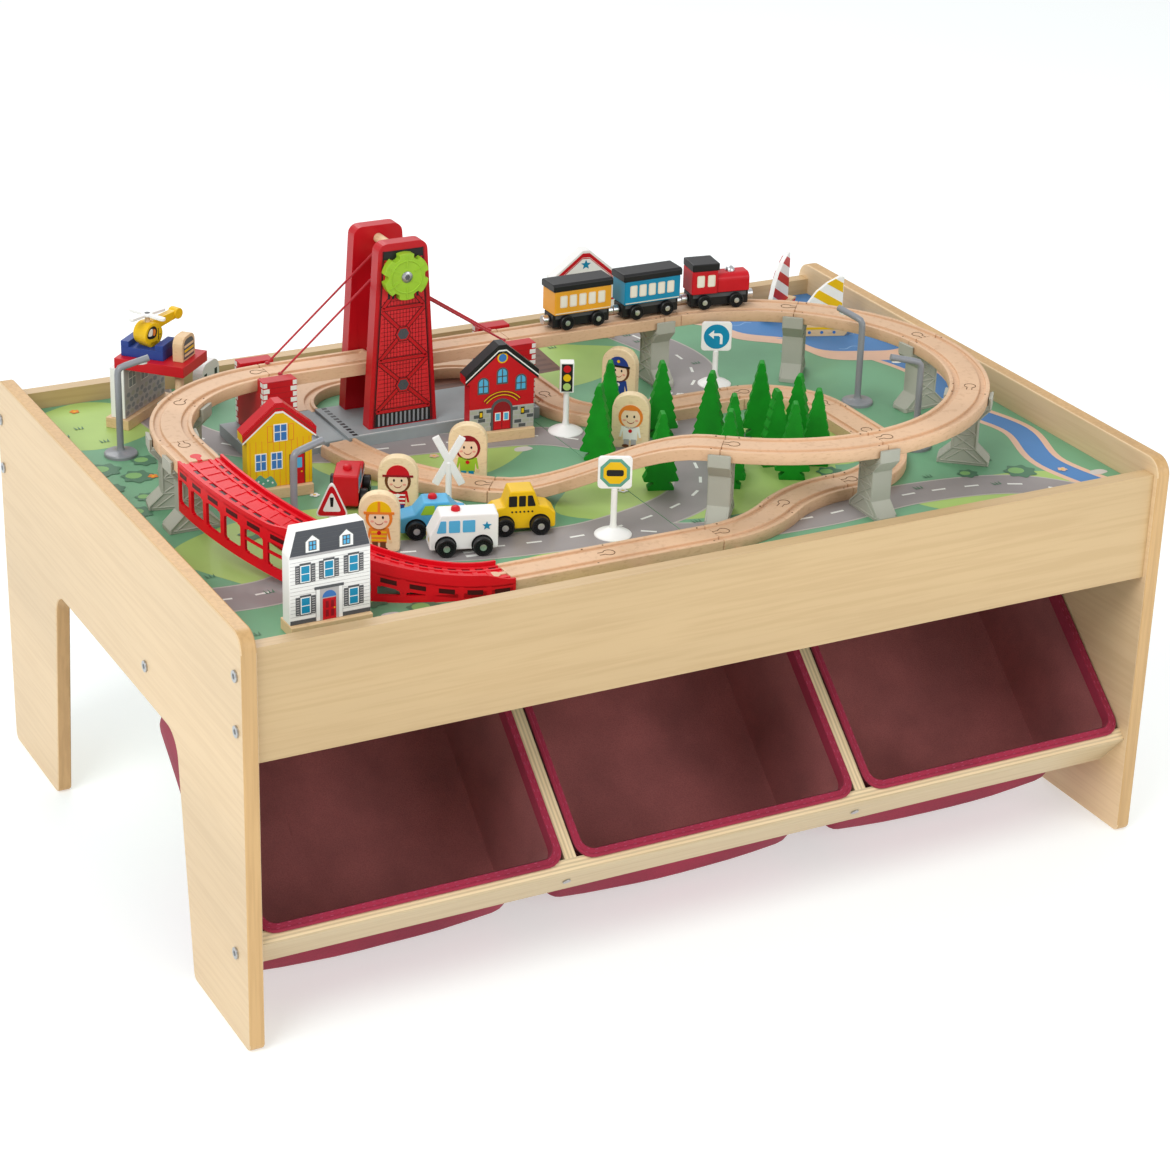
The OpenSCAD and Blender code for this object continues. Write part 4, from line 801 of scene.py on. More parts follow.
# Railway
def loop_spots(loop, angles, turn):
    """Places on a round of track, each with the direction there."""
    cx, cy, r = loop
    return [(*polar(r, a, cx, cy), a + turn) for a in angles]


def track_joints():
    """Peg outlines and small pins where pieces of track meet."""
    marks = Build()
    upper = loop_spots(BIG_LOOP, (-90, -39, 6, 51, 90), 90) + loop_spots(LEFT_LOOP, (90, 135, 180), 90)
    upper += [REAR_JOINT, FRONT_JOINT]
    lower = [(-126.7, -77.5, 142), (31, 110, 90), (99, 42, 0), (215, 42, 0), (285, -28, 90), (285, -113, 90),
             (190, -208, 0), (11.4, -267, 0), (100.7, -237.5, 37), (-110, -267, 0)]
    for x, y, turn, z in [(*spot, DECK_TOP) for spot in upper] + [(*spot, LOW_TOP) for spot in lower]:
        outline = turned(peg(2.6, 2.4, 5.5, 10.5, 5.6, 12), turn, x, y)
        marks.sweep([(a, b, z) for a, b in outline], 0.42, "seam", 5)
        for a, b in turned(((-9, 16.5), (-9, -16.5), (13, 17.2)), turn, x, y):
            marks.lathe([(0.9, z - 0.4), (0.9, z + 0.08), (0.5, z + 0.12)], "seam", (a, b, 0), sides=10)
    marks.done("track_marks", "table", slot="track_wood")


def pier_relief():
    """Crossed ribs and rims on the broad faces of each pier."""
    relief = Build()
    spots = [(-415.0, -31.5, 90), (-411.9, 23.8, 78), (-373.1, 95.2, 45), REAR_JOINT, FRONT_JOINT]
    spots += loop_spots(BIG_LOOP, (-90, -39, 6, 51), -90)
    half = ((26, 0), (26, 4), (13, 17), (13, 47.5), (24.1, 60.5), (24.1, 72.5))
    rims = [(side * (x0 - 1.2), z0 + 0.8, side * (x1 - 1.2), z1, 1.1) for side in (-1, 1)
            for (x0, z0), (x1, z1) in zip(half, half[1:])]
    ribs = [(*rib, 0.9) for rib in (
        (-11, 18, 11, 32), (11, 18, -11, 32), (-11, 33, 11, 47), (11, 33, -11, 47), (-12, 32.5, 12, 32.5),
        (-22, 3, 22, 3), (-12, 17, 12, 17), (-12, 48, 12, 48), (-22, 61, 22, 61), (-18, 4, 0, 17),
        (18, 4, 0, 17), (-19, 60, 0, 48), (19, 60, 0, 48))]
    for x, y, turn in spots:
        relief.place = Matrix.Translation((x, y, BOARD_Z)) @ Matrix.Rotation(math.radians(turn + 90), 4, "Z")
        for face in (-10, 10):
            for x0, z0, x1, z1, r in rims + ribs:
                relief.sweep([(x0, face, z0), (x1, face, z1)], r, "grey", 6)
    relief.done("pier_relief", "table", slot="pier_grey")


def plastic_ramp():
    """Moulded track that climbs round a quarter turn: deck, rails, sleepers and open side frames."""
    cx, cy, r = -205.0, -57.0, 210.0
    ramp = Build()

    def at(turn, out, down, lift):
        top = LOW_TOP + (DECK_TOP - LOW_TOP) * ease((270 - turn) / 90)
        return (*polar(r + out, turn, cx, cy), max(BOARD_Z + lift, top + down))

    def strip(out0, out1, low, high, first, last, steps, key="ramp_red", lift=0.0):
        verts = []
        for turn in (first + (last - first) * k / steps for k in range(steps + 1)):
            upper = high(turn) if callable(high) else high
            verts += [at(turn, out0, low, 0.0), at(turn, out1, low, 0.0), at(turn, out1, upper, lift),
                      at(turn, out0, upper, lift)]
        ramp.add(verts, end_caps(steps + 1, 4) + loft(steps + 1, 4), key)

    def wall_top(turn):
        """The outer wall stands higher from half way down."""
        return 3.0 + 6.0 * ease(limited((turn - 212) / 8)) * ease(limited((269 - turn) / 7))

    posts, sleepers, steps = 7, 12, 26
    rails = ((-22, 3), (-17, 0), (-10.5, 0), (8, 0), (15, 0), (19.5, wall_top))
    post_parts = [(0.65, -46, -2)]
    for depth in range(3):
        wide = 0.65 + 0.273 * (3 - math.sqrt(9 - (3 - depth) ** 2))
        post_parts += [(wide, -14 - depth, -12.9 - depth), (wide, -37.1 + depth, -36 + depth)]
    for first, last in ((269.9, 225.1), (224.9, 180.1)):
        span = last - first
        strip(-22, 22, -3, -1.2, first, last, steps)
        for out, high in rails:
            strip(out, out + 2.5, -1.3, high, first, last, steps)
        for side, face in ((-22, -22.15), (19, 22.0)):
            strip(side, side + 3, -13, -1.5, first, last, steps)
            strip(side, side + 3, -46, -37, first, last, steps, lift=7.0)
            for k in range(posts + 1):
                turn = first + span * k / posts
                for wide, low, high in post_parts:
                    strip(side, side + 3, low, high, min(first, turn + wide), max(last, turn - wide), 2)
            for k in range(posts):
                a, b = (first + span * (k + share) / posts for share in (0.22, 0.78))
                # Thin dark sheets on the outer faces of the upper band: painted shade that stands for the
                # band's small openings.
                strip(face, face + 0.15, -9.5, -5.0, a, b, 4, "dark_print_and_shade")
                if 206 < a < 246:
                    strip(side + 0.5, side + 2.5, -25, -22.6, a + 1.5, b - 1.5, 3)
        for k in range(1, sleepers):
            turn = first + span * k / sleepers
            strip(-19, 19, -1.3, -0.5, turn + 0.7, turn - 0.7, 2)
            # Ribs under the deck, in a darker red than the deck: painted shade under the deck.
            strip(-19, 19, -9, -3, turn + 0.35, turn - 0.35, 2, "dark_red")
            # Dark patches in the wheel grooves beside each sleeper: painted shade that stands for slots
            # through the deck.
            for out in (-14.4, 10.6):
                strip(out, out + 3.8, -1.25, -1.0, turn + 2.9, turn + 0.9, 3, "dark_print_and_shade")
    end_peg = peg(2.4, 2.2, 6, 11, 5.4, 14)
    ramp.slab([(cx - r - b, cy + a) for a, b in end_peg], DECK_TOP - 1.0, DECK_TOP + 0.2, "ramp_red", False)
    ramp.slab([(cx - a, cy - r - b) for a, b in end_peg], LOW_TOP - 2.0, LOW_TOP - 0.2, "track", False)
    ramp.done("plastic_ramp_frame", "table", 0.0, ("plastic_ramp",), "ramp_red")


# Lifting bridge
def bridge_base():
    """The base with two flat grooves, and the marks on it."""
    x0, x1, y0, y1 = -307.9, 9.1, 87.4, 174.53
    edges = (x0, -236.2, -230.2, -210.2, -204.2, x1)
    base = Build()
    for k in (0, 2, 4, 1, 3):
        base.box((edges[k], y0, BOARD_Z), (edges[k + 1], y1, LOW_TOP - 3 * (k % 2)), "base_grey")
    base.done("bridge_base_solid", "table", 0.6, ("bridge_base",), "base_grey")
    dashes = Build()
    for x in (-245.0, -195.4):
        for k in range(11):
            y = y0 + 3.2 + 7.8 * k
            dash = rectangle(x - 2.6, y, x + 2.6, y + 4.2)
            dashes.slab(dash, LOW_TOP - 0.1, LOW_TOP + 0.15, "black", False)
    for a, b in ((x0 + 2, -248), (-192, x1 - 2)):
        line = rectangle(a, y0 + 1.6, b, y0 + 2.6)
        dashes.slab(line, LOW_TOP - 0.1, LOW_TOP + 0.12, "print_white", False)
    dashes.done("bridge_base_marks", "table", slot="base_grey")


def tower_relief():
    """The printed steel frame on the outer faces of the towers."""
    relief = Build(Matrix.Translation((BRIDGE_X, REAR_Y, LOW_TOP)), TOWER_FACE)

    def edge(z):
        """Half the width of a tower at a height."""
        return 37.5 - 11.5 * z / 192

    def inner(z):
        return edge(z) - 6.5

    def panel(low, high, key, level):
        outline = [(-inner(low), low), (inner(low), low), (inner(high), high), (-inner(high), high)]
        relief.mark(outline, key, level)

    def brace(x0, z0, x1, z1, width, key, level):
        a, b = Vector((x0, z0)), Vector((x1, z1))
        way = (b - a).normalized()
        side = Vector((-way.y, way.x)) * width / 2
        relief.mark([a + side, a - side, b - side, b + side], key, level)

    panel(1, 184, "black", 1)
    panel(17, 176, "tower_print", 2)
    for k in range(12):
        relief.post(-26.4 + 4.8 * k, 1.0, 2, 15, "lamp", 3)
    for k in range(-6, 7):
        relief.post(k * 3.4, 0.35, 20, 133, "grid_red", 3)
    for k in range(26):
        z = 20 + 4.5 * k
        relief.post(0, inner(z) - 1, z - 0.3, z + 0.3, "grid_red", 3)
    for low, high in ((18, 68), (72, 122), (126, 176)):
        wide, narrow = inner(low) - 1.5, inner(high) - 1.5
        for key, width, level in (("dark_print_and_shade", 4.8, 4), ("tower_red", 3.3, 5)):
            brace(-wide, low, narrow, high, width, key, level)
            brace(wide, low, -narrow, high, width, key, level)
            brace(-wide - 1, low - 1, wide + 1, low - 1, width, key, level)
        for r, key, level in ((8.8, "dark_print_and_shade", 6), (8.0, "tower_red", 7), (6.2, "roof_grey", 8)):
            relief.dot(0, (low + high) / 2, r, key, level, 6)
    for k in range(8):
        relief.post(-15.4 + 4.4 * k, 1.2, 135, 178, "black", 6)
    relief.post(0, 21, 176, 184.5, "black", 7)
    for side in (-1, 1):
        for offset, key in ((4.4, "dark_red"), (5.6, "black")):
            brace(side * (edge(1) - offset), 1, side * (edge(185) - offset), 185, 0.7, key, 3)
    relief.done("tower_relief", "table", slot="bridge_red")


def pillar_bricks():
    """White corner bricks and dark courses on the end walls."""
    bricks = Build(None, TOWER_FACE)
    width, brick_h, pitch = 35.91, 4.6, 6
    for left in (-289.96, -26.8):
        bricks.place = Matrix.Translation((left, REAR_Y, LOW_TOP))
        for k in range(11):
            z = 1 + pitch * k
            size = 6.4 if k % 2 else 4.0
            bricks.bar(0.4, z, 0.4 + size, z + brick_h, "print_white")
            bricks.bar(35.5 - size, z, 35.5, z + brick_h, "print_white")
            bricks.bar(7.4, z + 4.8, 28.5, z + 5.1, "dark_red", 0)
            depth = 4.0 if k % 2 else 6.4
            for x in (0, width):
                for y in (-37.3, 37.3 - depth):
                    bricks.box((x - 0.15, y, z), (x + 0.15, y + depth, z + brick_h), "print_white")
    bricks.done("pillar_bricks", "table", slot="bridge_red")


def winch():
    place = Matrix.Translation((BRIDGE_X, REAR_Y, WINCH_Z))
    toy = Toy(place)
    toy.solid.lathe([(7.4, -21.2), (8, -20.6), (8, 20.6), (7.4, 21.2)], "dowel", axis="Y", sides=36)
    toy.solid.lathe([(4.98, -46.9), (4.98, 36.8), (4.4, 37.5)], "dowel", axis="Y", sides=32)
    knob = []
    for turn in range(0, 360, 60):
        knob += arc(0, 0, 24, turn + 10.5, turn + 49.5, 8)
        knob += [polar(20.2, turn + 52), polar(19.6, turn + 60), polar(20.2, turn + 68)]
    toy.solid.slab(knob, -47, -38, "lime")
    toy.done("bridge_winch", "knob_green", "bridge_winch_body", 1.1)
    cap = Build(place)
    cap.sweep([(x, -47.0, z) for x, z in oval(0, 0, 16.5, 16.5, 40)], 0.8, "lime", 6, True)
    cap.lathe([(5.8, -47), (5.8, -47.7), (5.2, -48.2), (3.4, -48.5)], "steel", axis="Y", sides=28)
    # A thin dark hexagon on the screw's head: painted shade that stands for its socket.
    cap.slab(oval(0, 0, 2.9, 2.9, 6), -48.62, -48.4, "dark_grey")
    for turn in range(30, 360, 60):
        cap.slab(turned(rectangle(10, -0.9, 22, 0.9), turn), -47.6, -46.9, "lime")
    cap.done("winch_cap", "bridge_winch_body", slot="knob_green")


def leaf_cords(node, end_x, side):
    """Two cords from a leaf's free end up to the winch's spool."""
    radius, turns, steps = 1.1, 14, 96
    reach = 9.1 + radius
    low = Vector((end_x - side * 8.8, DECK_TOP + radius))
    spool = Vector((BRIDGE_X, WINCH_Z))
    away = low - spool
    turn = math.atan2(away.y, away.x) - math.acos(reach / away.length)
    top = Vector(polar(reach, math.degrees(turn), *spool))
    build = Build()
    for y in (REAR_Y - 16.7, REAR_Y + 16.7):
        line = [low.lerp(top, k / steps) for k in range(steps + 1)]
        build.sweep([(p.x, y, p.y) for p in line[::4]], radius, "cord", 8)
        for strand in range(2):
            twist = []
            for k, p in enumerate(line):
                a = 2 * math.pi * (turns * k / steps + strand / 2)
                shift = 0.55 * math.sin(a)
                twist.append((p.x + shift, y + 0.75 * math.cos(a), p.y + shift))
            build.sweep(twist, 0.55, "cord", 5)
        build.lathe([(1.0, -1.1), (2.4, -0.6), (2.6, 0.5), (1.6, 1.6)], "cord", (low.x, y, low.y), sides=12)
    piece = build.make(node + "_rope")
    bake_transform(piece)
    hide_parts(node)


# Flat wooden buildings, printed on both faces
def building(place, outline, w, key):
    """A flat house on a block, and the print on it."""
    toy = Toy(place, HOUSE_HALF)
    toy.solid.box((-w / 2, -BLOCK_HALF, 0), (w / 2, BLOCK_HALF, BLOCK_H), "block")
    toy.solid.slab(raised(outline, BLOCK_H), -HOUSE_HALF, HOUSE_HALF, key)
    return toy, toy.trim


def printed_house(place, scale, key):
    """A gabled house; its print is drawn for a front 62 wide and brought to size."""
    w, wall, gable = 69 * scale, 60 * scale, 30 * scale
    eave, drop, crest, top = w * 0.57, wall - gable * 0.3, w * 0.06, wall + gable
    right = [(w / 2, 0), (w / 2, drop), (eave, drop), (eave, wall), (crest, top)]
    toy, trim = building(place, mirrored(right), w, key)
    size = w / 62
    trim.place = (place @ Matrix.Translation((0, 0, BLOCK_H)) @ Matrix.Diagonal((size, 1, size, 1))
                  @ Matrix.Translation((0, 0, -BLOCK_H)))
    return toy, trim


def chevron(half, near, far):
    """A roof's sloping band, between two distances below its edge."""
    low, crest, peak = 54 + BLOCK_H, 3.6, 80.9 + BLOCK_H
    edge = [(-half, low), (-crest, peak), (crest, peak), (half, low)]
    return raised(edge, -near) + raised(edge[::-1], -far)


def roof_bands(trim, bands, cap):
    """Bands under a roof's edge, and a cap over the edge through the whole thickness."""
    out = HOUSE_HALF * 1.016
    for low, high in ((-out, 0), (0, out)):
        trim.slab(chevron(35.2, -0.4, 1.8), low, high, cap)
    for near, far, key, level in bands:
        trim.mark(chevron(35.0, near, far), key, level)


def yellow_house():
    toy, trim = printed_house(on_board(-0.660, 0.022, -5), 0.94, "yellow")
    for k in range(-5, 6):
        trim.post(k * 5.6, 0.22, 11.3, 57, "orange", 0)
    roof_bands(trim, ((0.3, 9.6, "white", 1), (0.3, 7.6, "red", 2), (4.4, 5.2, "brown", 3)), "red")
    trim.window(1, 55, 13, 17)
    for x in (-9, 11):
        trim.post(x, 2.6, 55, 71, "orange")
        trim.post(x, 2.0, 55.6, 70.4, "yellow", 2)
    trim.window(-18, 28, 11, 17)
    trim.window(-3, 28, 11, 17)
    trim.bar(9, 11.3, 24, 41, "brown")
    trim.bar(10, 11.3, 23, 40, "red", 2)
    trim.bar(12, 27, 21, 37, "sky", 3)
    trim.dot(20.6, 23, 0.9, "yellow", 3)
    bush = [(-29, 11.3), (-5, 11.3), (-5, 17), (-9, 22), (-14, 20), (-19, 24), (-25, 19), (-29, 18)]
    trim.mark(curve(bush, 4), "teal", 3)
    for k in range(5):
        trim.mark(star(-25 + 4.4 * k, 15.5 + 2.5 * (k % 2), 1.3, 0.5), "white", 4)
    toy.done("yellow_house", "house_yellow")


def fire_station():
    toy, trim = printed_house(on_board(-0.112, 0.1206, -6), 1.0, "red")
    trim.post(0, 30.8, 11.2, 33, "stone")
    for row in range(5):
        for k in range(8):
            x, z = -30.4 + k * 7.8 + 3.6 * (row % 2), 11.8 + row * 4.2
            trim.bar(x, z, min(x + 6.6, 30.4), z + 3.2, "grey" if (k + row) % 3 else "dark_grey", 2)
    roof_bands(trim, ((0.3, 8.1, "black", 1), (4.2, 5.6, "white", 2)), "black")
    trim.dot(0, 80, 5.0, "yellow", 1, 20)
    trim.dot(0, 80, 3.8, "window", 2, 20)
    for x, z in ((-18, 47), (0, 55), (18, 47)):
        trim.mark(arched(x, z, 11, 16), "dark_grey")
        trim.mark(arched(x, z + 1.6, 8.4, 13), "sky", 2)
        trim.post(x, 0.5, z + 1.6, z + 14.4, "dark_grey", 3)
        trim.post(x, 4.2, z + 7, z + 8, "dark_grey", 3)
    for outer, inner, turn, key, level in ((24, 18.5, 40, "dark_red", 2), (23.2, 22.4, 41, "yellow", 3),
                                           (20.1, 19.3, 41, "yellow", 3)):
        band = arc(0, 25, outer, turn, 180 - turn, 14) + arc(0, 25, inner, 180 - turn, turn, 14)
        trim.mark(band, key, level)
    trim.mark(arched(0, 11.3, 21, 30), "dark_grey", 3)
    trim.mark(arched(0, 11.3, 17, 27), "dark_red", 4)
    for x in (-4, 4):
        trim.post(x, 3.6, 12, 29, "red", 5)
        trim.window(x, 20, 5.4, 8, "white", "sky", 6, False)
        trim.post(5 * x, 1.8, 24, 31, "black", 3)
        trim.post(5 * x, 1.2, 25.4, 29.6, "yellow", 4)
    toy.done("fire_station", "house_red")


def white_house():
    w, wall, top = 76.0, 64.0, 88.0
    right = [(w / 2, 0), (w / 2, wall), (w * 0.42, top)]
    place = on_board(-0.817, -0.599)
    toy, trim = building(place, mirrored(right), w + 0.6, "white")
    trim.place = place @ Matrix.Diagonal((1.048, 1, 1, 1))
    low, eave = BLOCK_H, BLOCK_H + wall
    for k in range(17):
        trim.post(0, 35.4, low + 4 + k * 3.4, low + 4.35 + k * 3.4, "stone", 0)
    trim.post(0, 35.8, low + 0.3, low + 4, "dark_grey")
    trim.mark([(-35.6, eave), (35.6, eave), (29.8, top + low - 0.5), (-29.8, top + low - 0.5)], "roof_grey")
    trim.post(0, 35.8, eave - 1.6, eave + 0.6, "stone", 2)
    for row in range(1, 5):
        trim.post(0, 35 - 6 * row / 5.4, eave + 4.4 * row, eave + 4.4 * row + 0.4, "dark_grey", 2)
    for x in (-15.5, 14.5):
        trim.mark([(x - 7, 77), (x + 7, 77), (x + 7, 88), (x, 94.5), (x - 7, 88)], "dark_grey", 3)
        trim.mark([(x - 6, 77.6), (x + 6, 77.6), (x + 6, 87.5), (x, 93), (x - 6, 87.5)], "white", 4)
        trim.window(x, 79, 7, 9, "dark_grey", "sky", 5)
    for x, z in ((-22, 50), (-1, 51), (21, 52), (-22, 20), (21, 21)):
        trim.post(x, 5, z - 1, z + 18, "dark_grey")
        trim.window(x, z, 9, 16, "white", "blue", 2, False)
        trim.post(x, 4, z + 7.6, z + 8.3, "white", 4)
        for shutter in (x - 7, x + 7):
            trim.post(shutter, 1.8, z - 0.5, z + 16.5, "dark_grey", 2)
            for k in range(7):
                trim.post(shutter, 1.3, z + 0.6 + 2.2 * k, z + 1.3 + 2.2 * k, "stone", 3)
    trim.bar(-13, low + 0.3, 11, 42.5, "stone", 3)
    trim.bar(-14, 41, 12, 43.5, "dark_grey", 4)
    for x in (-12.5, 7.7):
        trim.bar(x, low + 0.4, x + 3, 41, "white", 4)
    trim.mark(arc(-1, 32.5, 6.2, 0, 180, 10), "window", 4)
    trim.bar(-7, low + 0.4, 5, 31.5, "red", 4)
    for x in (-4.4, 0.4):
        for z in (14, 22.5):
            trim.bar(x, z, x + 2.6, z + 6.4, "dark_red", 5)
    trim.dot(3.6, 21.5, 0.7, "yellow", 5)
    toy.done("white_house", "house_white")


def hospital():
    toy, trim = printed_house(on_board(0.3459, 0.6132, -9), 1.0, "white")
    roof_bands(trim, ((2.2, 6.4, "red", 1), (7.0, 7.8, "red", 1)), "white")
    trim.mark(star(0, 78, 5.2), "blue")
    for x in (-19, 0, 19):
        trim.window(x, 48, 11, 13, "blue", "sky")
    for x in (-20, 20):
        trim.window(x, 20, 13, 17, "blue", "sky")
    trim.post(0, 10, 11.3, 37, "blue")
    for x in (-4.6, 4.6):
        trim.post(x, 4, 12, 35.6, "sky", 2)
    trim.post(0, 30, 40, 42, "red")
    toy.done("hospital", "house_white")


# Helicopter on its raised deck
def helicopter_pad():
    deck = on_board(-0.7394, 0.4758, 44)
    toy = Toy(deck)
    toy.solid.slab(rectangle(-28, -38, 28, 38), 64.5, 75.5, "red", False)
    for y0, y1, z0, z1 in ((-11.8, 34.6, 75.5, 85.5), (-11.8, -3.0, 85.4, 91.5), (25.8, 34.6, 85.4, 91.5)):
        toy.solid.box((-18.7, y0, z0), (10.9, y1, z1), "navy")
    toy.solid.slab(raised(round_top(29.1, 25.1, 9.3), 75.5), -31.3, -20.3, "block")
    toy.solid.lathe([(4.2, 0.0), (4.5, 1), (4.5, 64), (4.5, 64.5)], "block", (-16.8, -28.1, 0))
    toy.done("helicopter_pad", "pad_red")
    stand = Toy(on_board(-0.7672, 0.5492, 41), HOUSE_HALF)
    stand.solid.box((-44.3, -BLOCK_HALF, 0), (44.3, BLOCK_HALF, BLOCK_H), "block")
    stand.solid.box((-41.8, -HOUSE_HALF, BLOCK_H), (41.8, HOUSE_HALF, 64.5), "white")
    stand.trim.post(0, 41, 11.4, 64, "stone", 0)
    for row in range(4):
        for k in range(9):
            x = min(-36.5 + 9.1 * k + 3.0 * (row % 2), 36)
            z = 15.4 + 6.3 * row
            wobble = 1.3 * math.sin(7.0 * k + 3.0 * row)
            wide, turn = 3.9 + 0.5 * wobble, 0.2 * wobble
            stone = [(x + wide * math.cos(a + turn), z + 0.4 * wobble + 2.7 * math.sin(a))
                     for a in (math.pi * j / 3 for j in range(6))]
            stand.trim.mark(stone, ("lamp", "grey", "lamp")[(k + 2 * row) % 3])
    for x in (-25, 0, 25):
        stand.trim.window(x, 41, 15, 18, "print_white", "lamp")
    hut = Toy(on_board(-0.598, 0.585, 41), SHEET_HALF)
    hut.solid.slab(round_top(38.0, 41.8, 12.2), -SHEET_HALF, SHEET_HALF, "white")
    hut.trim.mark(arched(0, 2, 12, 22), "dark_grey")
    hut.trim.mark(arched(0, 3, 9.4, 19), "sky", 2)
    for x in (-11, 11):
        hut.trim.post(x, 2.6, 23, 31, "black")
    for toy, name in ((stand, "pad_stand"), (hut, "pad_hut")):
        toy.solid.done(name, "table", 0.8, slot="house_white")
        toy.trim.done(name + "_print", "table", slot="house_white")
    marks = Build(deck)
    for y in (-31.3, -20.3):
        marks.put(raised(round_top(23, 20, 8), 77.5), y, "dark_grey")
        for z, key in ((80, "skin"), (84.6, "yellow"), (89.2, "skin")):
            marks.put(rectangle(-10.4, z, 10.4, z + 2.6), y, key, 2)
    marks.done("pad_marks", "table", slot="pad_red")


def helicopter():
    place = on_board(-0.7621, 0.4874, 25) @ Matrix.Translation((0, 0, 85.5))
    d, half, tail, mast = 24.5, 8.8, 39.2, 24.5 * 1.22
    toy = Toy(place, half)
    middle = d / 2
    toy.solid.slab(oval(0, middle, middle, middle, 36), -half, half, "yellow")
    toy.solid.box((-d * 0.21, -half, 0), (d * 0.21, half, 6), "yellow")
    boom = [(3, 1), (tail, 7.4), (tail, 15.6), (3, 12.4)]
    toy.solid.slab(raised(boom, middle), -4.1, 4.1, "yellow")
    toy.solid.slab(oval(tail, middle + 11.5, 5.76, 5.76, 20), -5.4, 5.4, "yellow")
    toy.solid.lathe([(2.7, 18), (2.7, mast - 0.6), (2.2, mast)], "dowel")
    for key, level, pane in (
            ("black", 1, [(-9.6, 12), (-6.5, 19.5), (0, 21.5), (4, 17), (2, 10), (-5, 9)]),
            ("pane", 2, [(-8.2, 13), (-6, 18.4), (-2.2, 19), (-3, 12.5)]),
            ("orange", 2, [(-1.4, 12.4), (-0.8, 18.6), (2.2, 16.4), (0.8, 11.6)])):
        toy.trim.mark(curve(pane, 5), key, level)
    toy.trim.bar(5.5, 6, 6.2, 18, "black")
    toy.trim.mark(oval(8.2, 11, 0.9, 0.5, 8), "black")
    toy.done("helicopter", "helicopter_yellow")
    rotor = Toy(place @ Matrix.Translation((0, 0, mast + 0.4)))
    rotor.solid.lathe([(5.4, 0), (5.4, 2.4), (4.2, 3.1)], "white")
    blade = [(4, -2.4), (18, -3.1), (22.5, -3.0), (24, -1.2), (24, 1.2), (22.5, 3.0), (18, 3.1), (4, 2.4)]
    for turn in range(0, 360, 90):
        rotor.solid.slab(turned(blade, turn), 0, 2.9, "white", False)
    rotor.trim.lathe([(2.6, 3.0), (2.6, 3.5), (1.6, 3.9)], "dark_grey")
    rotor.done("helicopter_rotor", "rotor_white", "helicopter_rotor_body", 0.5)


# Boats, trees and figures
def sailboats():
    toy = Toy()
    trim = toy.trim
    length, rise, sail_h, slope = 72.0, 12.92, 55.08, 0.55
    sail_shares = ((-0.34, 0), (0.32, 0), (0.32, 1), (0.24, 0.99), (0.06, 0.86), (-0.1, 0.68), (-0.22, 0.46),
                   (-0.3, 0.22))
    hull = [(-length * 0.36, 0), (length * 0.36, 0), (length / 2, rise), (-length / 2, rise)]
    sail = [(x * length, z * sail_h + rise) for x, z in sail_shares]
    for spot, stripe in (((0.852, 0.567, 35), "red"), ((0.8724, 0.4039, -20), "yellow")):
        toy.stand(*spot)
        toy.solid.slab(soft_corners(hull, 2.0), -8, 8, "block")
        toy.solid.slab(sail, -2.75, 2.75, "white")
        trim.face = 2.75
        for low in range(-20, 72, 23):
            level_sail = [(x, z + slope * x) for x, z in sail]
            band = clip(clip(level_sail, 1, rise + low, 1), 1, rise + low + 11, -1)
            if len(band) > 2:
                trim.mark([(x * 0.97, z - slope * x) for x, z in band], stripe)
        trim.face = 8
        trim.mark([(-31, 8.2), (31, 8.2), (32.6, 10.8), (-32.6, 10.8)], stripe)
        for x in (-14, 0, 14):
            trim.dot(x, 4.8, 1.8, "window", 1, 12)
    toy.done("sailboats", "sail_wood")


def trees():
    places = ((0.108, 0.034, -28), (0.210, -0.012, -20), (0.276, -0.107, -40), (0.252, -0.244, -25),
              (0.405, -0.097, -30), (0.349, -0.255, -10), (0.438, -0.197, -45), (0.430, -0.289, -30),
              (0.066, -0.272, -20), (0.200, -0.318, -35), (0.345, -0.334, -28), (0.021, -0.081, -40))
    stump, tiers, height = 8.8, 7, 80
    step = (height - stump) / tiers
    right = [(12.4, 0), (12.95, 0.6), (12.95, 2.9), (10.4, 5.0), (7.4, 7.8), (7.6, 8.8)]
    for k in range(tiers):
        wide, narrow = 17.5 * (1 - 0.86 * k / tiers), 17.5 * (1 - 0.86 * (k + 1) / tiers) * 0.9
        low = stump + (k + 0.2) * step
        right += [(wide - 1.1, low - 1.5), (wide, low), (wide - 0.5, low + 1.8),
                  ((wide + narrow) / 2 - 0.2, low + step * 0.45), (narrow, stump + (k + 1) * step - 0.4)]
    right.append((1.0, height))
    toy = Toy()
    for spot in places:
        toy.stand(*spot)
        toy.solid.slab(mirrored(right), -SHEET_HALF, SHEET_HALF, "tree")
    toy.done("trees", "tree_green", bevel=0.5)


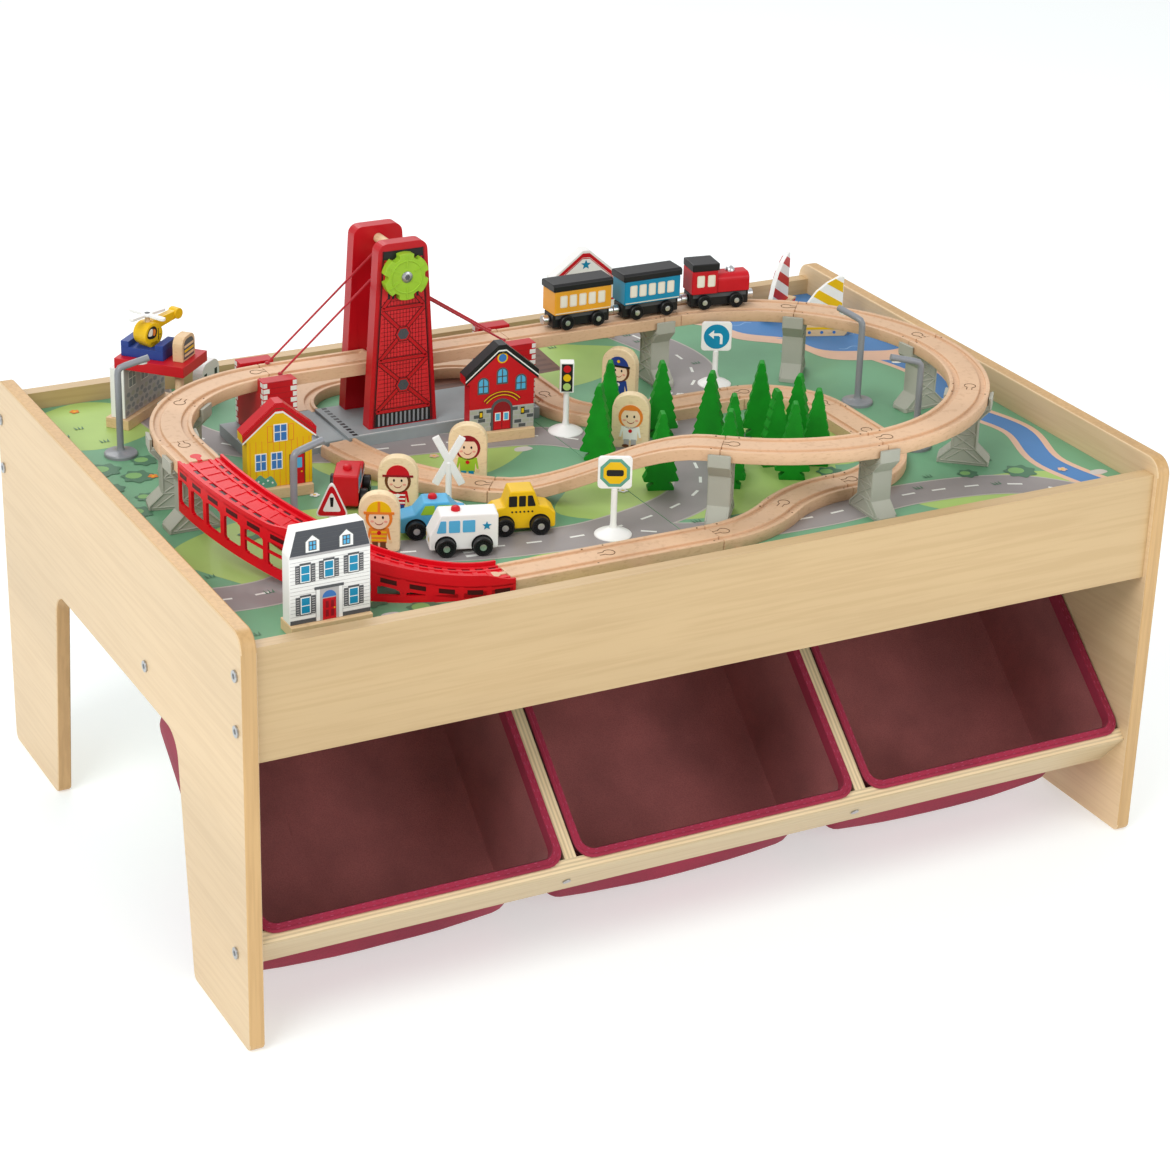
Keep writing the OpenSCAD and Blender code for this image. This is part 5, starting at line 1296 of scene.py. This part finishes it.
def figure_print(trim, hair, hat, top, legs, coat):
    """A plain printed person: hat or hair, round face, top with arms, legs and shoes."""
    trim.mark([(-9, 24), (9, 24), (11, 12), (9.5, 11), (7.5, 19), (7, 9), (-7, 9), (-7.5, 19), (-9.5, 11),
               (-11, 12)], top)
    for side in (-1, 1):
        trim.dot(side * 10.2, 10.6, 1.9, "skin", 2)
        trim.post(side * 3.6, 2.6, 3.4, 10, legs, 2)
        trim.mark(oval(side * 4.4, 3.0, 3.6, 1.7, 12), "brown", 3)
    if coat:
        for z in (11, 15, 19):
            trim.post(0, 7, z, z + 1.5, coat, 2)
    trim.dot(0, 19, 2.0, "white" if top in ("navy", "red") else "red", 3)
    trim.mark(oval(0, 34, 12.4, 12.6, 22), hair)
    trim.mark(oval(0, 33, 9.6, 10.2, 22), "blush", 2)
    for side in (-1, 1):
        trim.mark(oval(side * 3.6, 34.5, 1.0, 1.5, 10), "black", 3)
        trim.mark(oval(side * 6.2, 30.4, 1.7, 1.1, 10), "cheek", 3)
    trim.mark(arc(0, 31, 4.2, 205, 335, 8) + arc(0, 31.8, 4.2, 335, 205, 8), "dark_red", 3)
    if hat == "cap":
        trim.mark(arc(0, 38.5, 11.2, 8, 172, 12), top, 4)
        trim.post(0, 12.6, 38, 40.2, "black", 5)
        trim.dot(0, 44.5, 1.7, "yellow", 5)
    elif hat == "helmet":
        trim.mark(arc(0, 39, 11.6, 0, 180, 14), "yellow", 4)
        trim.post(0, 14, 37.6, 40, "orange", 5)
        trim.post(0, 1.2, 40, 50, "orange", 5)
    elif hat == "brim":
        trim.mark(arc(0, 39, 11, 0, 180, 14), "red", 4)
        trim.post(0, 14.5, 38, 40, "dark_red", 5)
    else:
        trim.mark(arc(0, 35, 11.8, 30, 150, 12), hair, 4)


def figures():
    people = (((-0.476, -0.163, -28), "brown", "brim", "red", "navy", "white"),
              ((-0.586, -0.318, -28), "orange", "helmet", "orange", "brown", "yellow"),
              ((-0.272, -0.060, -28), "dark_red", "hair", "lime", "blue", None),
              ((0.2315, 0.2127, -50), "brown", "cap", "navy", "navy", None),
              ((0.1205, -0.0423, -35), "orange", "hair", "white", "stone", None))
    right = [(-15.2, 0), (15.2, 0)] + arc(15.2, 3.8, 3.8, -90, 0, 4) + arc(1.52, 40.52, 17.48, 0, 90, 8)
    outline = list(dict.fromkeys(mirrored(right)))
    toy = Toy(None, SHEET_HALF)
    for spot, *look in people:
        toy.stand(*spot)
        toy.solid.slab(outline, -SHEET_HALF, SHEET_HALF, "figure")
        figure_print(toy.trim, *look)
    toy.done("figures", "figure_wood", bevel=1.4)


# Street lamps and road signs
def street_lamps():
    toy = Toy()
    foot = [(16.5, 0), (16.5, 2.6), (15.5, 3.7), (6.5, 4.4), (4.6, 5.6), (3.5, 8.5), (3.5, 9)]
    bend = [(0, 8), (0, 40), (0, 84), (0.5, 88), (2.6, 91), (8, 92.6), (20, 95), (32, 97.4)]
    for spot in ((-0.880, 0.347, 0), (-0.7286, -0.2314, 10), (0.708, -0.017, 110), (0.681, -0.290, 161)):
        toy.stand(*spot)
        toy.solid.lathe(foot, "lamp", sides=32)
        toy.solid.sweep([(x, 0, z) for x, z in bend], 3.4, "lamp", 14)
        toy.trim.slab(oval(25.5, 0, 5.2, 2.3, 16), 91.9, 93.4, "print_white", False)
    toy.done("street_lamps", "lamp_grey", bevel=0.0)


def road_signs():
    toy = Toy(None, 2)
    trim = toy.trim

    def stand(sx, sy, height, plate=None):
        toy.stand(sx, sy, -25)
        foot = [(18, 0), (18, 1.4), (14.4, 3.6), (8, 6.0), (4, 8), (3, 12), (3, height)]
        toy.solid.lathe(foot, "white", sides=28)
        if plate:
            toy.solid.slab(raised(plate, height), -trim.face, trim.face, "white")

    plate = round_rectangle(-16, 0, 16, 32, 3.84)
    triangle = soft_corners([(-16, 0), (16, 0), (0, 37.12)], 3.8)
    stand(-0.637, -0.203, 16.24, triangle)
    for share, key, level in ((0.9, "red", 1), (0.56, "white", 2)):
        trim.mark([(share * x, 28.6 + share * (z - 12.36)) for x, z in triangle], key, level)
    trim.mark([(-1.2, 26.5), (1.2, 26.5), (1.8, 36), (-1.8, 36)], "black", 3)
    stand(-0.377, -0.1895, 48)
    for turn, half in ((-62, 1.9), (62, 2)):
        toy.solid.slab(turned(rectangle(-27.2, -3.5, 27.2, 3.5), turn, 0, 49.64), -half, half, "white")
    stand(-0.135, -0.442, 47.56, plate)
    for r, key, level in ((15.0, "teal", 1), (11.7, "yellow", 2)):
        trim.mark([polar(r, 22.5 + 45 * k, 0, 63.56) for k in range(8)], key, level)
    trim.mark(round_rectangle(-8, 60.4, 8, 66.7, 2), "black", 3)
    stand(0.474, 0.213, 38.28, plate)
    trim.dot(0, 54.28, 13.6, "blue", 1, 32)
    hook = [(3.6, 46), (6.4, 46), (6.4, 53)] + arc(2.4, 54, 4.0, 0, 90, 6)
    hook += [(-3, 58.0), (-3, 61.4), (-8.6, 56.6), (-3, 51.8), (-3, 55.2), (2.2, 55.2), (3.6, 53.6)]
    trim.mark(hook, "white", 2)
    trim.face = SHEET_HALF
    stand(0.034, 0.091, 44.08, rectangle(-7.04, 0, 7.04, 32))
    trim.post(0, 5.6, 45.4, 74.8, "black")
    for z, key in ((50.6, "print_lime"), (60.1, "yellow"), (69.6, "red")):
        trim.dot(0, z, 3.9, key, 2, 20)
    toy.done("road_signs", "sign_white", bevel=0.6)


# Wheels, road vehicles and train
def wheel_pair(node, place, d, w, inner):
    """Two black wheels with ribbed faces and bright hub caps, on a steel axle."""
    build = Build(place)
    r, half = d / 2, inner / 2
    build.lathe([(1.9, -half - w * 0.4), (1.9, half + w * 0.4)], "steel", axis="Y", sides=12)
    tyre = ((0.3, 0), (0.92, 0), (1, 0.7), (1, w - 1.0), (0.93, w - 0.3), (0.8, w - 0.2), (0.74, w - 1.3),
            (0.46, w - 1.3), (0.4, w - 0.3), (0.3, w - 0.2))
    cap = ((0.38, w - 0.6), (0.35, w - 0.12), (0.2, w))
    for side in (-1, 1):
        for profile, key, sides in ((tyre, "black", 32), (cap, "bright", 18)):
            build.lathe([(r * share, side * (half + h)) for share, h in profile], key, axis="Y", sides=sides)
        low, high = sorted(side * (half + w - depth) for depth in (1.3, 0.4))
        for k in range(16):
            rib = rectangle(r * 0.5, -0.35, r * 0.72, 0.35)
            build.slab(turned(rib, 22.5 * k), low, high, "black")
    build.done(node + "_pair", node + "_body", replaces=(node,), slot="wheel_black")


def wheels(short, place, reach, z, *sizes):
    """The front and the rear wheelset of a vehicle."""
    for name, end in (("front", reach), ("rear", -reach)):
        wheel_pair(f"{short}_{name}_wheels", place @ Matrix.Translation((end, 0, z)), *sizes)


def vehicle(node, short, spot, outline, h, key, slot, windows, beacon=None, badges=()):
    place = on_board(*spot)
    toy = Toy(place, CAR_HALF)
    trim = toy.trim

    def sized(points):
        return [(x * CAR_L, z * h + CAR_LOW) for x, z in points]

    toy.solid.slab(soft_corners(sized(outline), 3.0), -CAR_HALF, CAR_HALF, key)
    for glass, x0, x1, z0, z1, lean in windows:
        pane = sized([(x0, z0), (x1, z0), (x1 - lean, z1), (x0, z1)])
        trim.mark(soft_corners(pane, 1.0), glass, 2)
    for badge, colour, x, z, size in badges:
        (middle,) = sized([(x, z)])
        trim.mark(star(*middle, size) if badge == "star" else oval(*middle, size, size, 14), colour, 3)
    axle_z = 9.3
    for x in (-AXLE_REACH, AXLE_REACH):
        trim.dot(x, axle_z, 10.2, "black", 0, 28)
    if key != "red":
        end = CAR_L / 2 + 0.12
        for x, colour in ((end, "dark_red" if key == "yellow" else "yellow"), (-end, "dark_red")):
            for y in (-7, 7):
                lamp = oval(y, CAR_LOW + h * 0.28, 2.2, 2.2, 14)
                trim.add([(x, a, b) for a, b in lamp], [list(range(14))], colour)
    if beacon is not None:
        top = h + CAR_LOW
        light = [(4.32, top), (4.32, top + 1.6), (3.9, top + 3.2), (2.6, top + 4.2), (0.8, top + 4.4)]
        trim.lathe(light, "red", (CAR_L * beacon, 0, 0), sides=20)
    toy.done(node, slot, node + "_body", 1.6)
    wheels(short, place, AXLE_REACH, axle_z, 18, 7, 25)


def vehicles():
    """Four cars; their windows give a colour, two ends, two heights and a lean."""
    vehicle("ambulance", "ambulance", (-0.4394, -0.3845, 163),
            ((-0.5, 0), (0.5, 0), (0.5, 0.42), (0.34, 1), (-0.5, 1)), 35, "white", "car_white",
            (("sky", 0.26, 0.4, 0.5, 0.84, 0.06), ("sky", 0.06, 0.22, 0.5, 0.84, 0),
             ("sky", -0.16, 0.02, 0.5, 0.84, 0)), 0.1, (("star", "blue", -0.33, 0.66, 4.4),))
    vehicle("police_car", "police", (-0.457, -0.284, 163),
            ((-0.5, 0), (0.5, 0), (0.5, 0.5), (0.28, 0.62), (0.14, 1), (-0.22, 1), (-0.38, 0.66),
             (-0.5, 0.62)), 30, "sky", "car_blue",
            (("lime", -0.01, 0.2, 0.6, 0.9, 0.07), ("lime", -0.28, -0.05, 0.6, 0.9, 0)), 0.0,
            (("star", "yellow", -0.1, 0.36, 3.6),))
    vehicle("taxi", "taxi", (-0.291, -0.339, -16),
            ((-0.5, 0), (0.5, 0), (0.5, 0.4), (0.4, 0.55), (0.26, 0.6), (0.18, 1), (-0.18, 1),
             (-0.26, 0.6), (-0.4, 0.55), (-0.5, 0.4)), 38, "yellow", "car_yellow",
            (("black", -0.2, -0.08, 0.6, 0.88, 0), ("black", -0.05, 0.05, 0.6, 0.88, 0),
             ("black", 0.08, 0.2, 0.6, 0.88, 0.05)), None,
            [("dot", "black", -0.15 + 0.06 * k, 0.46, 0.9) for k in range(6)])
    vehicle("fire_truck", "truck", (-0.5394, -0.0617, 241),
            ((-0.5, 0), (0.5, 0), (0.5, 1), (-0.06, 1), (-0.06, 0.7), (-0.5, 0.7)), 32, "red",
            "car_red",
            (("sky", 0.27, 0.44, 0.52, 0.88, 0), ("sky", 0.02, 0.2, 0.52, 0.88, 0),
             ("white", -0.46, 0.46, 0.42, 0.47, 0), ("black", -0.46, -0.12, 0.52, 0.64, 0)), 0.22)


def rail_car(node, short, x, y, yaw, key, slot):
    place = Matrix.Translation((x, y, DECK_TOP)) @ Matrix.Rotation(math.radians(yaw), 4, "Z")
    toy = Toy(place, COACH_HALF)
    wall, eave, end_x = 17.5, 43.0, COACH_L / 2
    toy.solid.box((-end_x, -10, 3), (end_x, 10, wall), "black")
    for end in (-1, 1):
        coupler = [(2.5, end * 33), (4.76, end * 34.4), (4.76, end * 40.2), (4.2, end * 40.85)]
        toy.trim.lathe(coupler, "bright", (0, 0, 10.25), "X", 20)
    for frame_y in (-10, 10):
        toy.trim.box((-30, frame_y - 0.5, 12.5), (30, frame_y + 0.5, 16.5), "dark_grey")
    if node == "locomotive":
        cab = 29.04
        toy.solid.box((-end_x, -COACH_HALF, wall), (cab - end_x, COACH_HALF, eave), key)
        toy.solid.box((-end_x, -14.7, eave), (cab * 1.05 - end_x, 14.7, eave + 8), "black")
        front = [(-12.3, 0), (12.3, 0)] + arc(5.4, 13.0, 6.9, 0, 90, 6) + arc(-5.4, 13.0, 6.9, 90, 180, 6)
        toy.solid.beam(raised(front, wall), cab - end_x, end_x, key)
        dome = [(5.3, -0.5), (5.1, 1.4), (4.0, 3.4), (2.2, 4.8), (0.6, 5.3)]
        toy.trim.lathe(raised(dome, wall + 19.9), "bright", (14.5, 0, 0), sides=24)
        panes, width = (-27.5, -15.5), 8.5
    else:
        toy.solid.box((-end_x, -COACH_HALF, wall), (end_x, COACH_HALF, eave), key)
        roof = [(-14.7, 0), (14.7, 0), (14.7, 6.6), (12, 8), (-12, 8), (-14.7, 6.6)]
        toy.solid.beam(raised(roof, eave), -34.65, 34.65, "black")
        toy.trim.post(0, 32, wall + 1.4, wall + 2.4, "cream", 0)
        panes, width = range(-27, 18, 11), 8.4
    for x0 in panes:
        x1 = x0 + width
        toy.trim.mark(round_rectangle(x0, wall + 8, x1, wall + 21, 1.6, 3), "cream")
        toy.trim.mark(round_rectangle(x0 + 1.2, wall + 9.2, x1 - 1.2, wall + 19.8, 1.0, 3), "pane", 2)
    toy.done(node, slot, node + "_body", 1.0)
    wheels(short, place, 18, 8.3, 16, 5, 21)


# The pieces, in the order of the table, the railway and the town
end_panel("left_end_panel", -487.5)
end_panel("right_end_panel", 472.5)
bolt_socket_shade()
for key, bevel, nodes in (
        ("apron", 1.2, "front_apron rear_apron"), ("cleat", 1.0, "board_cleats"),
        ("print_green", 0.4, "playboard"), ("rail", 1.5, "rack_front_rail rack_rear_rail"),
        ("divider", 1.2, "rack_dividers"), ("steel", 0.4, "frame_fasteners"),
        ("track", 0.9, "upper_track descending_track lower_track left_leaf right_leaf"),
        ("grey", 0.6, "track_piers"), ("dowel", 0.4, "bridge_dowels"),
        ("tower_red", 0.8, "bridge_end_pillars")):
    for node in nodes.split():
        dress(node, key, bevel)
dress("bridge_towers", "tower_red", 2.2, 3)
for bay, node in ((-1, "bin_left"), (0, "bin_middle"), (1, "bin_right")):
    fabric_bin(bay, node)
for make_piece in (board_print, track_joints, pier_relief, plastic_ramp, bridge_base, tower_relief,
                   pillar_bricks, winch):
    make_piece()
leaf_cords("left_cords", -272.0, -1)
leaf_cords("right_cords", -8.82, 1)
for make_piece in (yellow_house, fire_station, white_house, hospital, helicopter_pad, helicopter, sailboats,
                   trees, figures, street_lamps, road_signs, vehicles):
    make_piece()
rail_car("blue_coach", "blue", 157.34, REAR_Y, 0, "blue", "coach_blue")
rail_car("yellow_coach", "yellow", 75.34, REAR_Y, 0, "coach_yellow", "coach_yellow")
rail_car("locomotive", "loco", 240.34, 133.48, -8.6, "red", "car_red")


# Floor, light and camera
def add_object(name, data):
    added = bpy.data.objects.new(name, data)
    bpy.context.scene.collection.objects.link(added)
    return added


def stage_floor():
    mesh = bpy.data.meshes.new("floor")
    mesh.from_pydata([(x, y, 0) for x, y in rectangle(-20, -20, 20, 20)], [], [(0, 1, 2, 3)])
    pale = paint("floor_pale", "#CFD6D6", 0.7, 0.0, 0.01, 2.0, 0.0)
    shader = pale.node_tree.nodes["Principled BSDF"]
    shader.inputs["Emission Color"].default_value = WHITE
    shader.inputs["Emission Strength"].default_value = 0.46
    mesh.materials.append(pale)
    add_object("floor", mesh)


def area_light(name, place, target, size, power):
    data = bpy.data.lights.new(name, "AREA")
    data.shape = "DISK"
    data.size = size
    data.energy = power
    light = add_object(name, data)
    light.location = place
    light.rotation_euler = (Vector(target) - Vector(place)).to_track_quat("-Z", "Y").to_euler()


def camera():
    data = bpy.data.cameras.new("camera")
    data.sensor_width = 36.0
    data.lens = 90.895
    data.clip_end = 100.0
    eye = add_object("camera", data)
    forward = Vector((0.43210297, 0.80045203, -0.41540771)).normalized()
    level = forward.cross(Vector((0, 0, 1))).normalized()
    upward = level.cross(forward)
    c, s = polar(1, 1.7213)
    turn = Matrix((c * level + s * upward, c * upward - s * level, -forward)).transposed().to_4x4()
    eye.matrix_world = Matrix.Translation((-1.292643, -2.433078, 1.488291)) @ turn
    bpy.context.scene.camera = eye


stage_floor()
world = bpy.data.worlds.new("studio")
bpy.context.scene.world = world
world.use_nodes = True
background = world.node_tree.nodes["Background"]
background.inputs["Color"].default_value = WHITE
background.inputs["Strength"].default_value = 0.58
area_light("key", (-2.7, -1.5, 3.2), (0, 0, 0.3), 2.4, 85)
area_light("fill", (1.6, -3.0, 1.6), (0, 0, 0.2), 2.0, 26)
area_light("back", (0.4, 2.6, 2.8), (0, 0, 0.3), 2.4, 40)
camera()
bpy.context.scene.view_settings.view_transform = "Standard"
